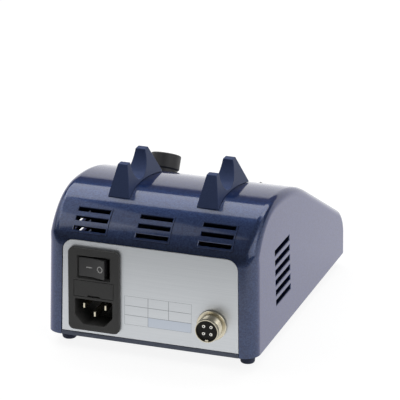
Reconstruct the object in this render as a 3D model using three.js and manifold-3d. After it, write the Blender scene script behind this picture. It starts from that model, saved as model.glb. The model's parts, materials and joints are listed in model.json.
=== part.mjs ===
// Control box of a dental laboratory micromotor: a vented, moulded housing with a sloping control
// face, two rests for the handpiece, a rear plate with mains inlet and output socket, and the
// parts that work inside.
//
// Millimetres, +Z up. The control face looks towards -Y, the rear plate towards +Y. The origin is
// the middle of the whole box's footprint, at the level of the feet.
//
// Most pieces are drawn in one of three frames:
//   housing frame  X as above, Y = 0 on the rear wall, Z = 0 on the lower edge of the housing
//   rear frame     seen by someone who looks at the rear plate: x right, y up, z towards them
//   slope frame    seen by someone who looks at the control face: x right, y up the slope,
//                  z out of it, with y = 0 where the crown runs out into the flat slope

import * as THREE from "three";
import { mergeVertices } from "three/addons/utils/BufferGeometryUtils.js";
import Module from "manifold-3d";

const wasm = await Module();
wasm.setup();

// Clearances
const fitGap = 0.3; // between pieces that seat on, in or through each other
const overrun = 2; // how far a cutting tool passes the faces that it cuts

// Shares used in turned profiles
const roundingShare = 0.3; // where the one inner point of a rounded edge lies along the edge
const headTopShare = 0.75; // a screw head's flat top, of its radius

// Housing, as its side profile from the rear wall over the crown to the nose
const housingWidth = 137;
const rearWallHeight = 59;
const kneeRadius = 14.8;
const kneeTurnDeg = 35;
const shoulderRadius = 49.5;
const crownRadius = 153;
const slopeDeg = 27.6;
const noseHeight = 27; // where the slope and the front wall would meet without the nose's arc
const noseRadius = 22;
const draftDeg = 1.1; // each side wall leans in by this much
const rearCornerRadius = 10.2; // rounds the upright rear edges
const topCornerRadius = 5.3; // rounds the edges between top and sides
const cornerBlendDeg = 75; // turn of the profile over which the one radius becomes the other
const wallThickness = 2.5;
const rearWallThickness = 4.2; // thicker, because it carries the rear plate's rebate

// Rear vents: a block of slots on the knee, repeated across the width
const rearVentColumns = 3;
const rearVentRows = 3;
const rearVentWidth = 20.8;
const rearVentHeight = 2.75;
const rearVentColumnPitch = 40.4;
const rearVentRowPitch = 6.35;
const rearVentStart = 11.9; // along the profile, from the top of the flat rear wall

// Side vents: a column of slots through both side walls
const sideVentRows = 6;
const sideVentLength = 30.4;
const sideVentHeight = 3.6;
const sideVentPitch = 6.73;
const sideVentFromRear = 40.2;
const sideVentTop = 54.9; // centre line of the uppermost slot
const sideVentStagger = 0.56; // each slot starts this much further forward than the one above

// Rear plate
const plateThickness = 1.5;
const plateRecess = 0.4; // its face lies this far inside the rear wall
const plateMargin = 10.9; // from the side of the housing
const plateTop = 63.3;
const plateCornerRadius = 7;
const plateLedge = 3; // width of the rebate that the plate sits against

// Base
const baseThickness = 2.5;
const baseRimHeight = 5;
const baseRimThickness = 2;
const baseBossHeight = 6;
const baseBossRadius = 5;
const columnRadius = 4;
const screwFromSide = 7.5;
const rearScrewBeyondStrap = 8; // towards the front, from the transformer's strap
const frontScrewFromFront = 31.5;
const screwRadius = 1.6;
const screwLength = 14;
const screwHeadRadius = 3.1;
const screwHeadHeight = 2.2;
const screwHeadDepth = 3; // the head's seat, up from the underside

// Feet
const footHeight = 8.5;
const footRadius = 5.3;
const footToeRadius = 4.5;
const footEdge = 1.2;
const footFromSide = 9.9;
const footFromEnd = 15.9;
const footStudRadius = 2;
const footStudLength = 2.2;

// Handpiece rests
const restSpacing = 57.6;
const restBaseWidth = 14.6;
const restTopWidth = 6.4;
const restRise = 15.8; // tops of the prongs above the crown
const restTaperDepth = 20.2; // from the tops down to where the rest has its base width
const restRootDepth = 31.2; // from the tops down to where the blank starts, inside the housing
const restNotchFromRear = 50; // notch centre, from the rear wall
const restNotchBelowTop = 1; // notch centre, down from the tops of the prongs
const restWeb = 1.5; // what is left between the notch and the crown
const restRearProng = 5; // thickness of each prong at its top
const restFrontProng = 5.6;
const restRearSpread = 7.7; // how far each prong widens from its top to its foot
const restFrontSpread = 15.2;
const restTopRounding = 1.2;

// Mains inlet module: switch well, fuse drawer and mains recess, stacked from the top down. The
// margins and the spaces between them set its height.
const inletFromSide = 32.9;
const inletCentreHeight = 32.2;
const inletSideMargin = 4.45; // beside the recess
const inletTopMargin = 4.6;
const wellToDrawer = 1.5;
const drawerToRecess = 1.8;
const inletBottomMargin = 4.2;
const inletFlange = 2.1;
const inletCornerRadius = 3.5;
const inletEdge = 0.5;
const inletShoulder = 3.2; // the flange reaches this much past the body on all sides
const inletBodyDepth = 28;
const powerWellWidth = 21.4;
const powerWellHeight = 15;
const powerWellStep = 1.2; // the well's outer frame is this deep
const powerRockerLength = 18.7;
const powerRockerWidth = 12.7;
const powerRockerRise = 6; // pivot to the middle of the rocker's face
const drawerSideWall = 0.7; // from the drawer to the side of the body
const drawerHeight = 10.4;
const drawerDepth = 13;
const drawerFaceThickness = 2.4;
const drawerWall = 1.6;
const drawerNotchWidth = 8;
const drawerNotchDepth = 1.2;
const fuseLength = 20;
const fuseRadius = 2.6;
const fuseCapLength = 5;
const fuseGlassRadius = 2.35;
const mainsRecessWidth = 24.5;
const mainsRecessHeight = 16.5;
const mainsRecessDepth = 17;
const mainsChamferAcross = 5.3;
const mainsChamferUp = 5.8;
const mainsPinThickness = 2;
const mainsPinHeight = 4;
const mainsPinTip = 2; // how far the pin tips stay behind the flange's face
const mainsPinTail = 8; // how far the pins stand out of the module's back
const mainsPinTaper = 0.5;
const mainsPinSpacing = 14;
const livePinAbove = 3.4; // live pins' centre above the recess's centre
const earthPinBelow = 1.6; // earth pin's centre below it

// Rocker action, shared by the three switches
const rockerTiltDeg = 8;
const rockerBarrel = 3; // pivot to the rocker's underside
const rockerWaist = 2;
const rockerInset = 0.4; // the pressed half lies this far below the bezel
const rockerStubRadius = 1.2;
const rockerStubLength = 1;

// Output socket, round and screwed
const socketFromSide = 28;
const socketHeight = 19.5;
const socketFlangeRadius = 9.5;
const socketFlangeThickness = 1.6;
const socketBarrelRadius = 7.6;
const socketBarrelWall = 0.7;
const socketReach = 10.6; // rim above the rear plate
const socketTail = 9;
const socketEdge = 0.5;
const socketInsertSink = 1.6; // the insert's face lies this far inside the rim
const socketInsertTail = 4; // how far the insert stands out of the shell's back
const socketKeyWidth = 2;
const socketKeyDepth = 1;
const contactCount = 4;
const contactCircleRadius = 3.35;
const contactRadius = 1.05;
const contactBore = 0.5;
const contactBoreDepth = 6;
const contactProud = 0.2;
const contactTail = 4;
const socketNutWidth = 18.5; // across corners
const socketNutThickness = 2.5;

// Speed control
const knobAcross = 37.5; // to the right of the middle
const knobDownSlope = 18.6;
const knobRadius = 10;
const knobWaistRadius = 9;
const knobHeight = 14.4;
const knobEdge = 0.9;
const knobCollarHeight = 4.2;
const knobHollowRadius = 7;
const knobHollowDepth = 5;
const knobBoreDepth = 11.5;
const knobPointerWidth = 1;
const knobPointerDepth = 0.5;
const knobTravelDeg = 300; // from stop to stop; the pointer rests at the slow end
const shaftRadius = 3;
const bushRadius = 3.6;
const bushReach = 4.2;
const potRadius = 8.5;
const potDepth = 10;
const potShaftSeat = 6; // how deep the shaft goes into the potentiometer
const potNutWidth = 11.5; // across corners
const potNutThickness = 2;

// Front switches
const switchBezelLength = 21.5;
const switchBezelWidth = 15.4;
const switchBezelHeight = 1.8;
const switchBezelEdge = 0.5;
const switchBodyLength = 19;
const switchBodyWidth = 12.8;
const switchBodyDepth = 13;
const switchRockerLength = 15.4;
const switchRockerWidth = 10;
const switchRockerRise = 5; // pivot to the middle of the rocker's face
const directionAcross = -2;
const selectorAcross = -36;
const switchDownSlope = 20;

// Indicator lamp
const lampAcross = -2;
const lampDownSlope = 47;
const lampRadius = 2.5;
const lampFlangeRadius = 3.1;
const lampFlangeThickness = 1;
const lampHolderRadius = 5;
const lampHolderHeight = 1.6;
const lampBushRadius = 3.9;
const lampBushDepth = 6;

// Handpiece socket on the control face
const motorSocketAcross = -36;
const motorSocketDownSlope = 56;
const motorSocketRadius = 9.6;
const motorSocketRim = 2.4;
const motorSocketBoreRadius = 7.2;
const motorSocketBushRadius = 8.2;
const motorSocketDepth = 12;
const motorSocketSink = 0.8;
const motorContactCount = 5;
const motorContactCircleRadius = 4;
const motorContactHole = 0.8;
const motorContactHoleDepth = 5;
const motorNutWidth = 21;
const motorNutThickness = 2.4;

// Transformer
const coreWidth = 66;
const coreHeight = 55;
const coreStack = 36;
const coreFromRear = 57;
const coreAcross = -6;
const coilOverhang = 11; // how far the winding stands out of the stack, front and rear
const coilCornerRadius = 4;
const strapThickness = 1.5;
const strapWidth = 18;
const strapFoot = 11;
const strapScrewRadius = 1.8;
const strapScrewHeadRadius = 3.4;
const strapScrewHeadHeight = 2.4;

// Circuit board
const boardFromSide = 18.5; // from each side of the housing
const boardThickness = 1.6;
const boardFromRear = 114;
const boardFromFront = 18.5;
const boardHeight = 10.5; // underside above the lower edge of the housing
const standoffRadius = 3;
const standoffInset = 5;
const capacitorRadius = 8;
const capacitorHeight = 25;
const capacitorEdge = 0.8;
const capacitorSpacing = 19;
const capacitorFromBoardSide = 18.5;
const capacitorFromBoardEnd = 12;
const sinkHeight = 24;
const sinkPlate = 3;
const sinkFinDepth = 9;
const sinkFins = 7;
const sinkFromBoardSide = 6;
const sinkFromBoardEnd = 6;
const sinkFromCapacitor = 6.5;

// How finely curves are drawn
const kneeSteps = 4;
const shoulderSteps = 9;
const crownSteps = 8;
const noseSteps = 7;
const cornerSteps = 5;
const innerCornerSteps = 3;
const turnedSteps = 24;
const mediumTurnedSteps = 18;
const smallTurnedSteps = 14;
const coarseTurnedSteps = 10;
const arcSteps = 4;
const edgeSteps = 1;
const hexSides = 6;
const mergeTolerance = 1e-4;

const radians = THREE.MathUtils.degToRad;
const draft = Math.tan(radians(draftDeg));
const slope = radians(slopeDeg);
const xAxis = new THREE.Vector3(1, 0, 0);
const yAxis = new THREE.Vector3(0, 1, 0);
const zAxis = new THREE.Vector3(0, 0, 1);

// Finishes
const material = (color, roughness, metalness = 0) =>
  new THREE.MeshStandardMaterial({ color, roughness, metalness });
const navyPlastic = material("#2b3560", 0.28, 0.15);
const plateMetal = material("#b9bfc2", 0.42, 0.8);
const blackPlastic = material("#2c2c2b", 0.5);
const gloss = material("#171718", 0.25);
const nickel = material("#c9c3b2", 0.25, 1);
const brass = material("#c8a35a", 0.35, 1);
const steel = material("#a9adb0", 0.35, 1);
const laminations = material("#5b5d60", 0.5, 0.9);
const copper = material("#8a4a22", 0.45, 0.5);
const boardGreen = material("#2f5a3a", 0.55);
const aluminium = material("#a7acb0", 0.4, 1);
const sleeveBlack = material("#20242c", 0.35);
const glass = material("#cfd8d8", 0.1);
const lampRed = material("#8e1616", 0.2);

// A closed geometry, placed by an optional matrix, as a solid that can be cut and joined
function solid(geometry, matrix) {
  const bare = geometry.index ? geometry.toNonIndexed() : geometry.clone();
  bare.deleteAttribute("normal");
  bare.deleteAttribute("uv");
  if (matrix) bare.applyMatrix4(matrix);
  const merged = mergeVertices(bare, mergeTolerance);
  return new wasm.Manifold(
    new wasm.Mesh({
      numProp: 3,
      vertProperties: merged.attributes.position.array,
      triVerts: new Uint32Array(merged.index.array),
    }),
  );
}

const join = (...solids) => solids.reduce((sum, part) => sum.add(part));
const cut = (blank, ...tools) => tools.reduce((rest, tool) => rest.subtract(tool), blank);

function geometryOf(shape) {
  const mesh = shape.getMesh();
  const positions = new Float32Array(mesh.vertProperties);
  const geometry = new THREE.BufferGeometry();
  geometry.setAttribute("position", new THREE.BufferAttribute(positions, mesh.numProp));
  geometry.setIndex(new THREE.BufferAttribute(new Uint32Array(mesh.triVerts), 1));
  geometry.computeVertexNormals();
  return geometry;
}

// A named mesh from a geometry or a solid
function piece(name, shape, finish) {
  const geometry = shape.isBufferGeometry ? shape : geometryOf(shape);
  const mesh = new THREE.Mesh(geometry, finish);
  mesh.name = name;
  return mesh;
}

function groupIn(matrix, ...children) {
  const group = new THREE.Group();
  group.applyMatrix4(matrix);
  group.add(...children);
  return group;
}

const moved = (x, y, z) => new THREE.Matrix4().makeTranslation(x, y, z);
const turnedAbout = (axis, angle) => new THREE.Matrix4().makeRotationAxis(axis, angle);

// A box given by its middle in x and y and by its lower and upper z
function block(width, depth, low, high, x = 0, y = 0) {
  const box = new THREE.BoxGeometry(width, depth, high - low);
  return box.translate(x, y, (low + high) / 2);
}

// A solid of revolution about z from [radius, z] pairs that start and end on the axis, or close
function turned(profile, steps = turnedSteps) {
  const points = profile.map(([radius, z]) => new THREE.Vector2(radius, z));
  return new THREE.LatheGeometry(points, steps).rotateX(Math.PI / 2);
}

const disc = (radius, low, high, steps) =>
  turned([[0, low], [radius, low], [radius, high], [0, high]], steps);

function roundedRectangle(width, height, radius) {
  const x = width / 2;
  const y = height / 2;
  const shape = new THREE.Shape();
  shape.moveTo(-x + radius, -y);
  shape.lineTo(x - radius, -y);
  shape.absarc(x - radius, -y + radius, radius, -Math.PI / 2, 0);
  shape.absarc(x - radius, y - radius, radius, 0, Math.PI / 2);
  shape.absarc(-x + radius, y - radius, radius, Math.PI / 2, Math.PI);
  shape.absarc(-x + radius, -y + radius, radius, Math.PI, (3 * Math.PI) / 2);
  return shape;
}

const polygon = (points) => new THREE.Shape(points.map(([x, y]) => new THREE.Vector2(x, y)));

// A flat outline given thickness from z = low to z = high
function slab(shape, low, high) {
  const settings = { depth: high - low, bevelEnabled: false, curveSegments: arcSteps };
  return new THREE.ExtrudeGeometry(shape, settings).translate(0, 0, low);
}

// The same with its edges broken all round
function softSlab(shape, low, high, edge) {
  const settings = {
    depth: high - low - 2 * edge,
    bevelThickness: edge,
    bevelSize: edge,
    bevelOffset: -edge,
    bevelSegments: edgeSteps,
    curveSegments: arcSteps,
  };
  return new THREE.ExtrudeGeometry(shape, settings).translate(0, 0, low + edge);
}

// A skin over closed rings of equal length, stacked along +X, with both ends capped
function loft(rings) {
  const count = rings[0].length;
  const positions = rings.flat().flatMap((point) => point.toArray());
  const faces = [];
  for (let r = 0; r + 1 < rings.length; r++) {
    for (let i = 0; i < count; i++) {
      const next = (i + 1) % count;
      const [a, b] = [r * count + i, r * count + next];
      const [c, d] = [a + count, b + count];
      faces.push(a, b, d, a, d, c);
    }
  }
  for (const [r, outward] of [[0, -1], [rings.length - 1, 1]]) {
    const flat = rings[r].map((point) => new THREE.Vector2(point.y, point.z));
    for (const triangle of THREE.ShapeUtils.triangulateShape(flat, [])) {
      const area = THREE.ShapeUtils.area(triangle.map((i) => flat[i]));
      const order = area * outward > 0 ? triangle : triangle.toReversed();
      faces.push(...order.map((i) => r * count + i));
    }
  }
  const geometry = new THREE.BufferGeometry();
  geometry.setAttribute("position", new THREE.Float32BufferAttribute(positions, 3));
  geometry.setIndex(faces);
  return geometry;
}

// Side profile of the housing

// Walks from the rear foot up, over the crown and down to the front foot. Each station holds its
// distance from the rear wall, its height, the heading there and the length walked so far.
function walkProfile() {
  const stations = [{ v: 0, z: 0, heading: Math.PI / 2, walked: 0 }];
  const last = () => stations[stations.length - 1];
  function straight(length) {
    const { v, z, heading, walked } = last();
    stations.push({
      v: v + length * Math.cos(heading),
      z: z + length * Math.sin(heading),
      heading,
      walked: walked + length,
    });
  }
  function bend(radius, turn, steps) {
    const start = last();
    const centreV = start.v + radius * Math.sin(start.heading);
    const centreZ = start.z - radius * Math.cos(start.heading);
    for (let i = 1; i <= steps; i++) {
      const turnedBy = (turn * i) / steps;
      const heading = start.heading - turnedBy;
      stations.push({
        v: centreV - radius * Math.sin(heading),
        z: centreZ + radius * Math.cos(heading),
        heading,
        walked: start.walked + radius * turnedBy,
      });
    }
  }
  straight(rearWallHeight);
  bend(kneeRadius, radians(kneeTurnDeg), kneeSteps);
  bend(shoulderRadius, Math.PI / 2 - radians(kneeTurnDeg), shoulderSteps);
  bend(crownRadius, slope, crownSteps);
  const slopeStart = last();
  const noseTurn = Math.PI / 2 - slope;
  const noseTangent = noseRadius * Math.tan(noseTurn / 2);
  straight((slopeStart.z - noseHeight) / Math.sin(slope) - noseTangent);
  bend(noseRadius, noseTurn, noseSteps);
  straight(last().z);
  return { stations, slopeStart };
}

const { stations, slopeStart } = walkProfile();
const housingLength = stations[stations.length - 1].v;

// The station at a given length along the profile, between the drawn ones
function stationAt(length) {
  const after = stations.findIndex((station) => station.walked >= length);
  const [a, b] = [stations[after - 1], stations[after]];
  const share = (length - a.walked) / (b.walked - a.walked);
  const between = (key) => THREE.MathUtils.lerp(a[key], b[key], share);
  return { v: between("v"), z: between("z"), heading: between("heading") };
}

function cornerRadiusAt(heading) {
  const turnedBy = Math.PI / 2 - heading;
  const blend = THREE.MathUtils.smoothstep(turnedBy, 0, radians(cornerBlendDeg));
  return THREE.MathUtils.lerp(rearCornerRadius, topCornerRadius, blend);
}

// The whole housing as a closed body, inset by a wall, or grown by a negative one. Every ring lies
// on one angle of the rounded edge, so the walls between two insets are even all round.
function housingBody(inset, below = 0, steps = innerCornerSteps) {
  const foot = { ...stations[0], z: -below };
  const toe = { ...stations[stations.length - 1], z: -below };
  const walk = [foot, ...stations.slice(1, -1), toe];
  const ringAt = (side, angle) =>
    walk.map(({ v, z, heading }) => {
      const radius = cornerRadiusAt(heading);
      const centreV = v + radius * Math.sin(heading);
      const centreZ = z - radius * Math.cos(heading);
      const reach = radius - inset;
      const halfWidth = housingWidth / 2 - draft * centreZ - radius;
      const outV = centreV - reach * Math.sin(angle) * Math.sin(heading);
      const outZ = centreZ + reach * Math.sin(angle) * Math.cos(heading);
      return new THREE.Vector3(side * (halfWidth + reach * Math.cos(angle)), -outV, outZ);
    });
  const angles = [];
  for (let i = 0; i <= steps; i++) angles.push((i / steps) * (Math.PI / 2));
  const left = angles.map((angle) => ringAt(-1, angle));
  const right = angles.toReversed().map((angle) => ringAt(1, angle));
  return solid(loft([...left, ...right]));
}

const rearFrame = new THREE.Matrix4().makeBasis(xAxis.clone().negate(), zAxis, yAxis);
const slopeFrame = new THREE.Matrix4()
  .makeRotationX(slope)
  .setPosition(0, -slopeStart.v, slopeStart.z);
const sideFrame = new THREE.Matrix4().makeBasis(yAxis, zAxis, xAxis);

const inRear = (geometry, x = 0, y = 0) => solid(geometry.translate(x, y, 0), rearFrame);
const inSlope = (geometry, x = 0, y = 0) => solid(geometry.translate(x, y, 0), slopeFrame);

// Rear plate outline, with its sides parallel to the housing's
const plateHalfWidth = (height) => housingWidth / 2 - plateMargin - draft * height;
const plateBottom = baseThickness + fitGap;

function plateOutline(grow, bottom) {
  const top = plateTop + grow;
  const radius = plateCornerRadius + grow;
  const [foot, side, head] = [bottom, top - radius, top].map((z) => plateHalfWidth(z) + grow);
  const shape = new THREE.Shape();
  shape.moveTo(-foot, bottom);
  shape.lineTo(foot, bottom);
  shape.lineTo(side, top - radius);
  shape.quadraticCurveTo(head, top, head - radius, top);
  shape.lineTo(-head + radius, top);
  shape.quadraticCurveTo(-head, top, -side, top - radius);
  shape.closePath();
  return shape;
}

// Places in the rear frame
const inletX = inletFromSide - housingWidth / 2;
const socketX = housingWidth / 2 - socketFromSide;

// Places of feet and screws in the housing frame
const footX = housingWidth / 2 - footFromSide;
const footPlaces = {
  rear: -footFromEnd,
  middle: -housingLength / 2,
  front: footFromEnd - housingLength,
};
const screwX = housingWidth / 2 - screwFromSide;
const coreCentre = -coreFromRear - coreStack / 2;
const screwPlaces = {
  rear: coreCentre - strapWidth / 2 - rearScrewBeyondStrap,
  front: frontScrewFromFront - housingLength,
};
const bothSides = { left: -1, right: 1 };

function eachPlace(places, across, make) {
  const made = [];
  for (const [end, y] of Object.entries(places)) {
    for (const [side, sign] of Object.entries(bothSides)) {
      made.push(make(`${end}_${side}`, sign * across, y));
    }
  }
  return made;
}

// Housing shell: two insets of one body, pierced by vents and the openings for what it carries
function rearVentTools() {
  const tools = [];
  for (let row = 0; row < rearVentRows; row++) {
    const { v, z, heading } = stationAt(rearWallHeight + rearVentStart + row * rearVentRowPitch);
    const place = turnedAbout(xAxis, Math.PI / 2 - heading);
    place.premultiply(moved(0, -v, z));
    for (let column = 0; column < rearVentColumns; column++) {
      const x = (column - (rearVentColumns - 1) / 2) * rearVentColumnPitch;
      const depth = 4 * wallThickness;
      const slot = block(rearVentWidth, depth, -rearVentHeight / 2, rearVentHeight / 2, x);
      tools.push(solid(slot, place));
    }
  }
  return tools;
}

function sideVentTools() {
  const tools = [];
  for (let row = 0; row < sideVentRows; row++) {
    const z = sideVentTop - row * sideVentPitch;
    const y = -(sideVentFromRear + row * sideVentStagger + sideVentLength / 2);
    const half = sideVentHeight / 2;
    tools.push(solid(block(2 * housingWidth, sideVentLength, z - half, z + half, 0, y)));
  }
  return tools;
}

function housingShell() {
  const outer = housingBody(0, 0, cornerSteps);
  const rearBlock = block(
    2 * housingWidth,
    2 * rearWallThickness,
    -2 * overrun,
    2 * housingLength,
  );
  const cavity = cut(housingBody(wallThickness, overrun), solid(rearBlock));
  // Screw columns hang from the roof, so they are trimmed to a body that ends inside the wall
  const trim = housingBody(wallThickness / 2);
  const columnFoot = baseBossHeight + fitGap;
  const columns = eachPlace(screwPlaces, screwX, (place, x, y) =>
    solid(disc(columnRadius, columnFoot, housingLength, coarseTurnedSteps), moved(x, y, 0)),
  ).map((column) => column.intersect(trim));
  const pilots = eachPlace(screwPlaces, screwX, (place, x, y) => {
    const top = screwHeadDepth + screwLength + fitGap;
    const bore = disc(screwRadius + fitGap, 0, top, coarseTurnedSteps);
    return solid(bore, moved(x, y, 0));
  });
  const pocketDepth = plateRecess + plateThickness + fitGap;
  const plateOpening = plateOutline(-plateLedge, -overrun);
  const tongueWidth = 2 * (plateHalfWidth(0) + fitGap);
  const tongueTop = baseThickness + fitGap;
  return cut(
    join(cut(outer, cavity), ...columns),
    ...pilots,
    ...rearVentTools(),
    ...sideVentTools(),
    inRear(slab(plateOutline(fitGap, -overrun), -pocketDepth, overrun)),
    inRear(slab(plateOpening, -rearWallThickness - overrun, overrun)),
    solid(block(tongueWidth, 2 * (rearWallThickness + fitGap), -overrun, tongueTop)),
    ...slopeOpenings(),
  );
}

// What the control face is pierced for
function slopeOpenings() {
  const [low, high] = [-2 * wallThickness, overrun];
  const switchLength = switchBodyLength + 2 * fitGap;
  const switchWidth = switchBodyWidth + 2 * fitGap;
  const round = (radius) => disc(radius + fitGap, low, high, smallTurnedSteps);
  return [
    inSlope(round(bushRadius), knobAcross, -knobDownSlope),
    inSlope(block(switchLength, switchWidth, low, high), directionAcross, -switchDownSlope),
    inSlope(block(switchLength, switchWidth, low, high), selectorAcross, -switchDownSlope),
    inSlope(round(lampBushRadius), lampAcross, -lampDownSlope),
    inSlope(round(motorSocketBushRadius), motorSocketAcross, -motorSocketDownSlope),
  ];
}

// Base: a tray inside the shell's lower edge, with a tongue that shows under the rear plate
function basePlate() {
  const clear = wallThickness + fitGap;
  const frontOf = rearWallThickness + fitGap;
  const footprint = housingBody(clear);
  const layer = (low, high) =>
    solid(block(2 * housingWidth, housingLength, low, high, 0, -frontOf - housingLength / 2));
  const floor = footprint.intersect(layer(0, baseThickness));
  const rimLayer = layer(baseThickness / 2, baseRimHeight);
  const rimInside = housingBody(clear + baseRimThickness).intersect(
    solid(
      block(
        housingWidth,
        housingLength,
        0,
        housingLength,
        0,
        -frontOf - baseRimThickness - housingLength / 2,
      ),
    ),
  );
  const rim = cut(footprint.intersect(rimLayer), rimInside);
  const tongueReach = frontOf + baseRimThickness;
  const tongue = block(2 * plateHalfWidth(0), tongueReach, 0, baseThickness, 0, -tongueReach / 2);
  const bosses = eachPlace(screwPlaces, screwX, (place, x, y) =>
    solid(disc(baseBossRadius, 0, baseBossHeight, coarseTurnedSteps), moved(x, y, 0)).intersect(
      footprint,
    ),
  );
  const screwHoles = eachPlace(screwPlaces, screwX, (place, x, y) => {
    const headHole = screwHeadRadius + fitGap;
    const stem = screwRadius + fitGap;
    const tool = turned(
      [
        [0, -overrun],
        [headHole, -overrun],
        [headHole, screwHeadDepth],
        [stem, screwHeadDepth],
        [stem, baseBossHeight + overrun],
        [0, baseBossHeight + overrun],
      ],
      coarseTurnedSteps,
    );
    return solid(tool, moved(x, y, 0));
  });
  const studHoles = eachPlace(footPlaces, footX, (place, x, y) => {
    const hole = disc(footStudRadius + fitGap, -overrun, baseRimHeight, coarseTurnedSteps);
    return solid(hole, moved(x, y, 0));
  });
  return cut(join(floor, rim, solid(tongue), ...bosses), ...screwHoles, ...studHoles);
}

function baseScrew() {
  const seat = screwHeadDepth - fitGap / 2;
  const tip = seat + screwLength;
  return turned(
    [
      [0, seat - screwHeadHeight],
      [screwHeadRadius * headTopShare, seat - screwHeadHeight],
      [screwHeadRadius, seat - screwHeadHeight / 2],
      [screwHeadRadius, seat],
      [screwRadius, seat],
      [screwRadius, tip - screwRadius],
      [0, tip],
    ],
    coarseTurnedSteps,
  );
}

function foot() {
  return turned(
    [
      [0, -footHeight],
      [footToeRadius - footEdge, -footHeight],
      [footToeRadius - footEdge * roundingShare, footEdge * roundingShare - footHeight],
      [footToeRadius, footEdge - footHeight],
      [footRadius, 0],
      [footStudRadius, 0],
      [footStudRadius, footStudLength],
      [0, footStudLength],
    ],
    mediumTurnedSteps,
  );
}

// Rear plate
function rearPlate() {
  const [low, high] = [-plateRecess - plateThickness, -plateRecess];
  const blank = solid(slab(plateOutline(0, plateBottom), low, high));
  const inletHole = block(
    inletBodyWidth + 2 * fitGap,
    inletBodyHeight + 2 * fitGap,
    low - overrun,
    high + overrun,
    inletX,
    inletCentreHeight,
  );
  const socketHole = disc(socketBarrelRadius + fitGap, low - overrun, high + overrun);
  return cut(blank, solid(inletHole), solid(socketHole, moved(socketX, socketHeight, 0)));
}

// Handpiece rest: a wedge-sided prong pair with a round notch, seated on the housing's crown
function handpieceRest(across) {
  const top = Math.max(...stations.map(({ z }) => z)) + restRise;
  const [taperFrom, root] = [top - restTaperDepth, top - restRootDepth];
  const half = restTopRounding / 2;
  const notchRadius = restRise - restNotchBelowTop - restWeb;
  const lipAngle = Math.asin((restNotchBelowTop - half) / notchRadius);
  const lipReach = notchRadius * Math.cos(lipAngle);
  const rearTop = restNotchFromRear - lipReach - restRearProng;
  const frontTop = restNotchFromRear + lipReach + restFrontProng;
  const [rearFoot, frontFoot] = [rearTop - restRearSpread, frontTop + restFrontSpread];
  const side = new THREE.Shape();
  side.moveTo(-rearFoot, taperFrom);
  side.lineTo(-rearTop + half, top - restTopRounding);
  side.quadraticCurveTo(-rearTop, top, -rearTop - half, top);
  side.lineTo(-rearTop - restRearProng + restTopRounding, top);
  side.absarc(
    -restNotchFromRear,
    top - restNotchBelowTop,
    notchRadius,
    lipAngle,
    -Math.PI - lipAngle,
    true,
  );
  side.lineTo(-frontTop + restFrontProng - restTopRounding, top);
  side.lineTo(-frontTop + half, top);
  side.quadraticCurveTo(-frontTop, top, -frontTop - half, top - restTopRounding);
  side.lineTo(-frontFoot, taperFrom);
  side.lineTo(-frontFoot, root);
  side.lineTo(-rearFoot, root);
  side.closePath();
  const settings = { depth: restBaseWidth, bevelEnabled: false, curveSegments: 3 * arcSteps };
  const plate = new THREE.ExtrudeGeometry(side, settings).translate(0, 0, -restBaseWidth / 2);
  const [foot, head] = [restBaseWidth / 2, restTopWidth / 2];
  const wedge = slab(
    polygon([
      [-foot, root - overrun],
      [foot, root - overrun],
      [foot, taperFrom],
      [head, top + overrun],
      [-head, top + overrun],
      [-foot, taperFrom],
    ]),
    -overrun,
    housingLength,
  );
  const place = moved(across, 0, 0);
  const wedgeFrame = new THREE.Matrix4().makeRotationX(Math.PI / 2).premultiply(place);
  const body = solid(plate, sideFrame.clone().premultiply(place));
  return cut(body.intersect(solid(wedge, wedgeFrame)), housingBody(-fitGap));
}

// Rocker of a switch, in its own frame: pivot along y, face towards +z, level in the middle
function rocker(length, width, rise) {
  const half = length / 2;
  const lift = half * Math.tan(radians(rockerTiltDeg));
  const waist = half - rockerWaist / 2;
  const outline = polygon([
    [-rockerBarrel, -rockerBarrel],
    [rockerBarrel, -rockerBarrel],
    [waist, rockerWaist],
    [half, rise + lift],
    [0, rise],
    [-half, rise + lift],
    [-waist, rockerWaist],
  ]);
  const upright = new THREE.Matrix4().makeRotationX(Math.PI / 2);
  const stubReach = width / 2 + rockerStubLength;
  return join(
    solid(slab(outline, -width / 2, width / 2), upright),
    solid(disc(rockerStubRadius, -stubReach, stubReach, coarseTurnedSteps), upright),
  );
}

// The well that a rocker swings in, sunk from z = 0, and the holes for its pivot stubs
function rockerWell(length, width, rise) {
  const swing = length / 2 + rise * Math.sin(radians(rockerTiltDeg)) + fitGap;
  const wellWidth = width + 2 * fitGap;
  const holeReach = width / 2 + rockerStubLength + fitGap;
  const floor = -rockerInset - rise - rockerBarrel - rockerWaist;
  const hole = disc(rockerStubRadius + fitGap, -holeReach, holeReach, coarseTurnedSteps);
  const pivot = new THREE.Matrix4().makeRotationX(Math.PI / 2);
  pivot.premultiply(moved(0, 0, -rockerInset - rise));
  return [solid(block(2 * swing, wellWidth, floor, overrun)), solid(hole, pivot)];
}

// A rocker mesh that rests pressed on its left half; positive turns about +y would press further
function placedRocker(name, length, width, rise, bezelZ) {
  const mesh = piece(name, rocker(length, width, rise), gloss);
  mesh.position.z = bezelZ - rockerInset - rise;
  mesh.rotation.y = -radians(rockerTiltDeg);
  return mesh;
}

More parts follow.
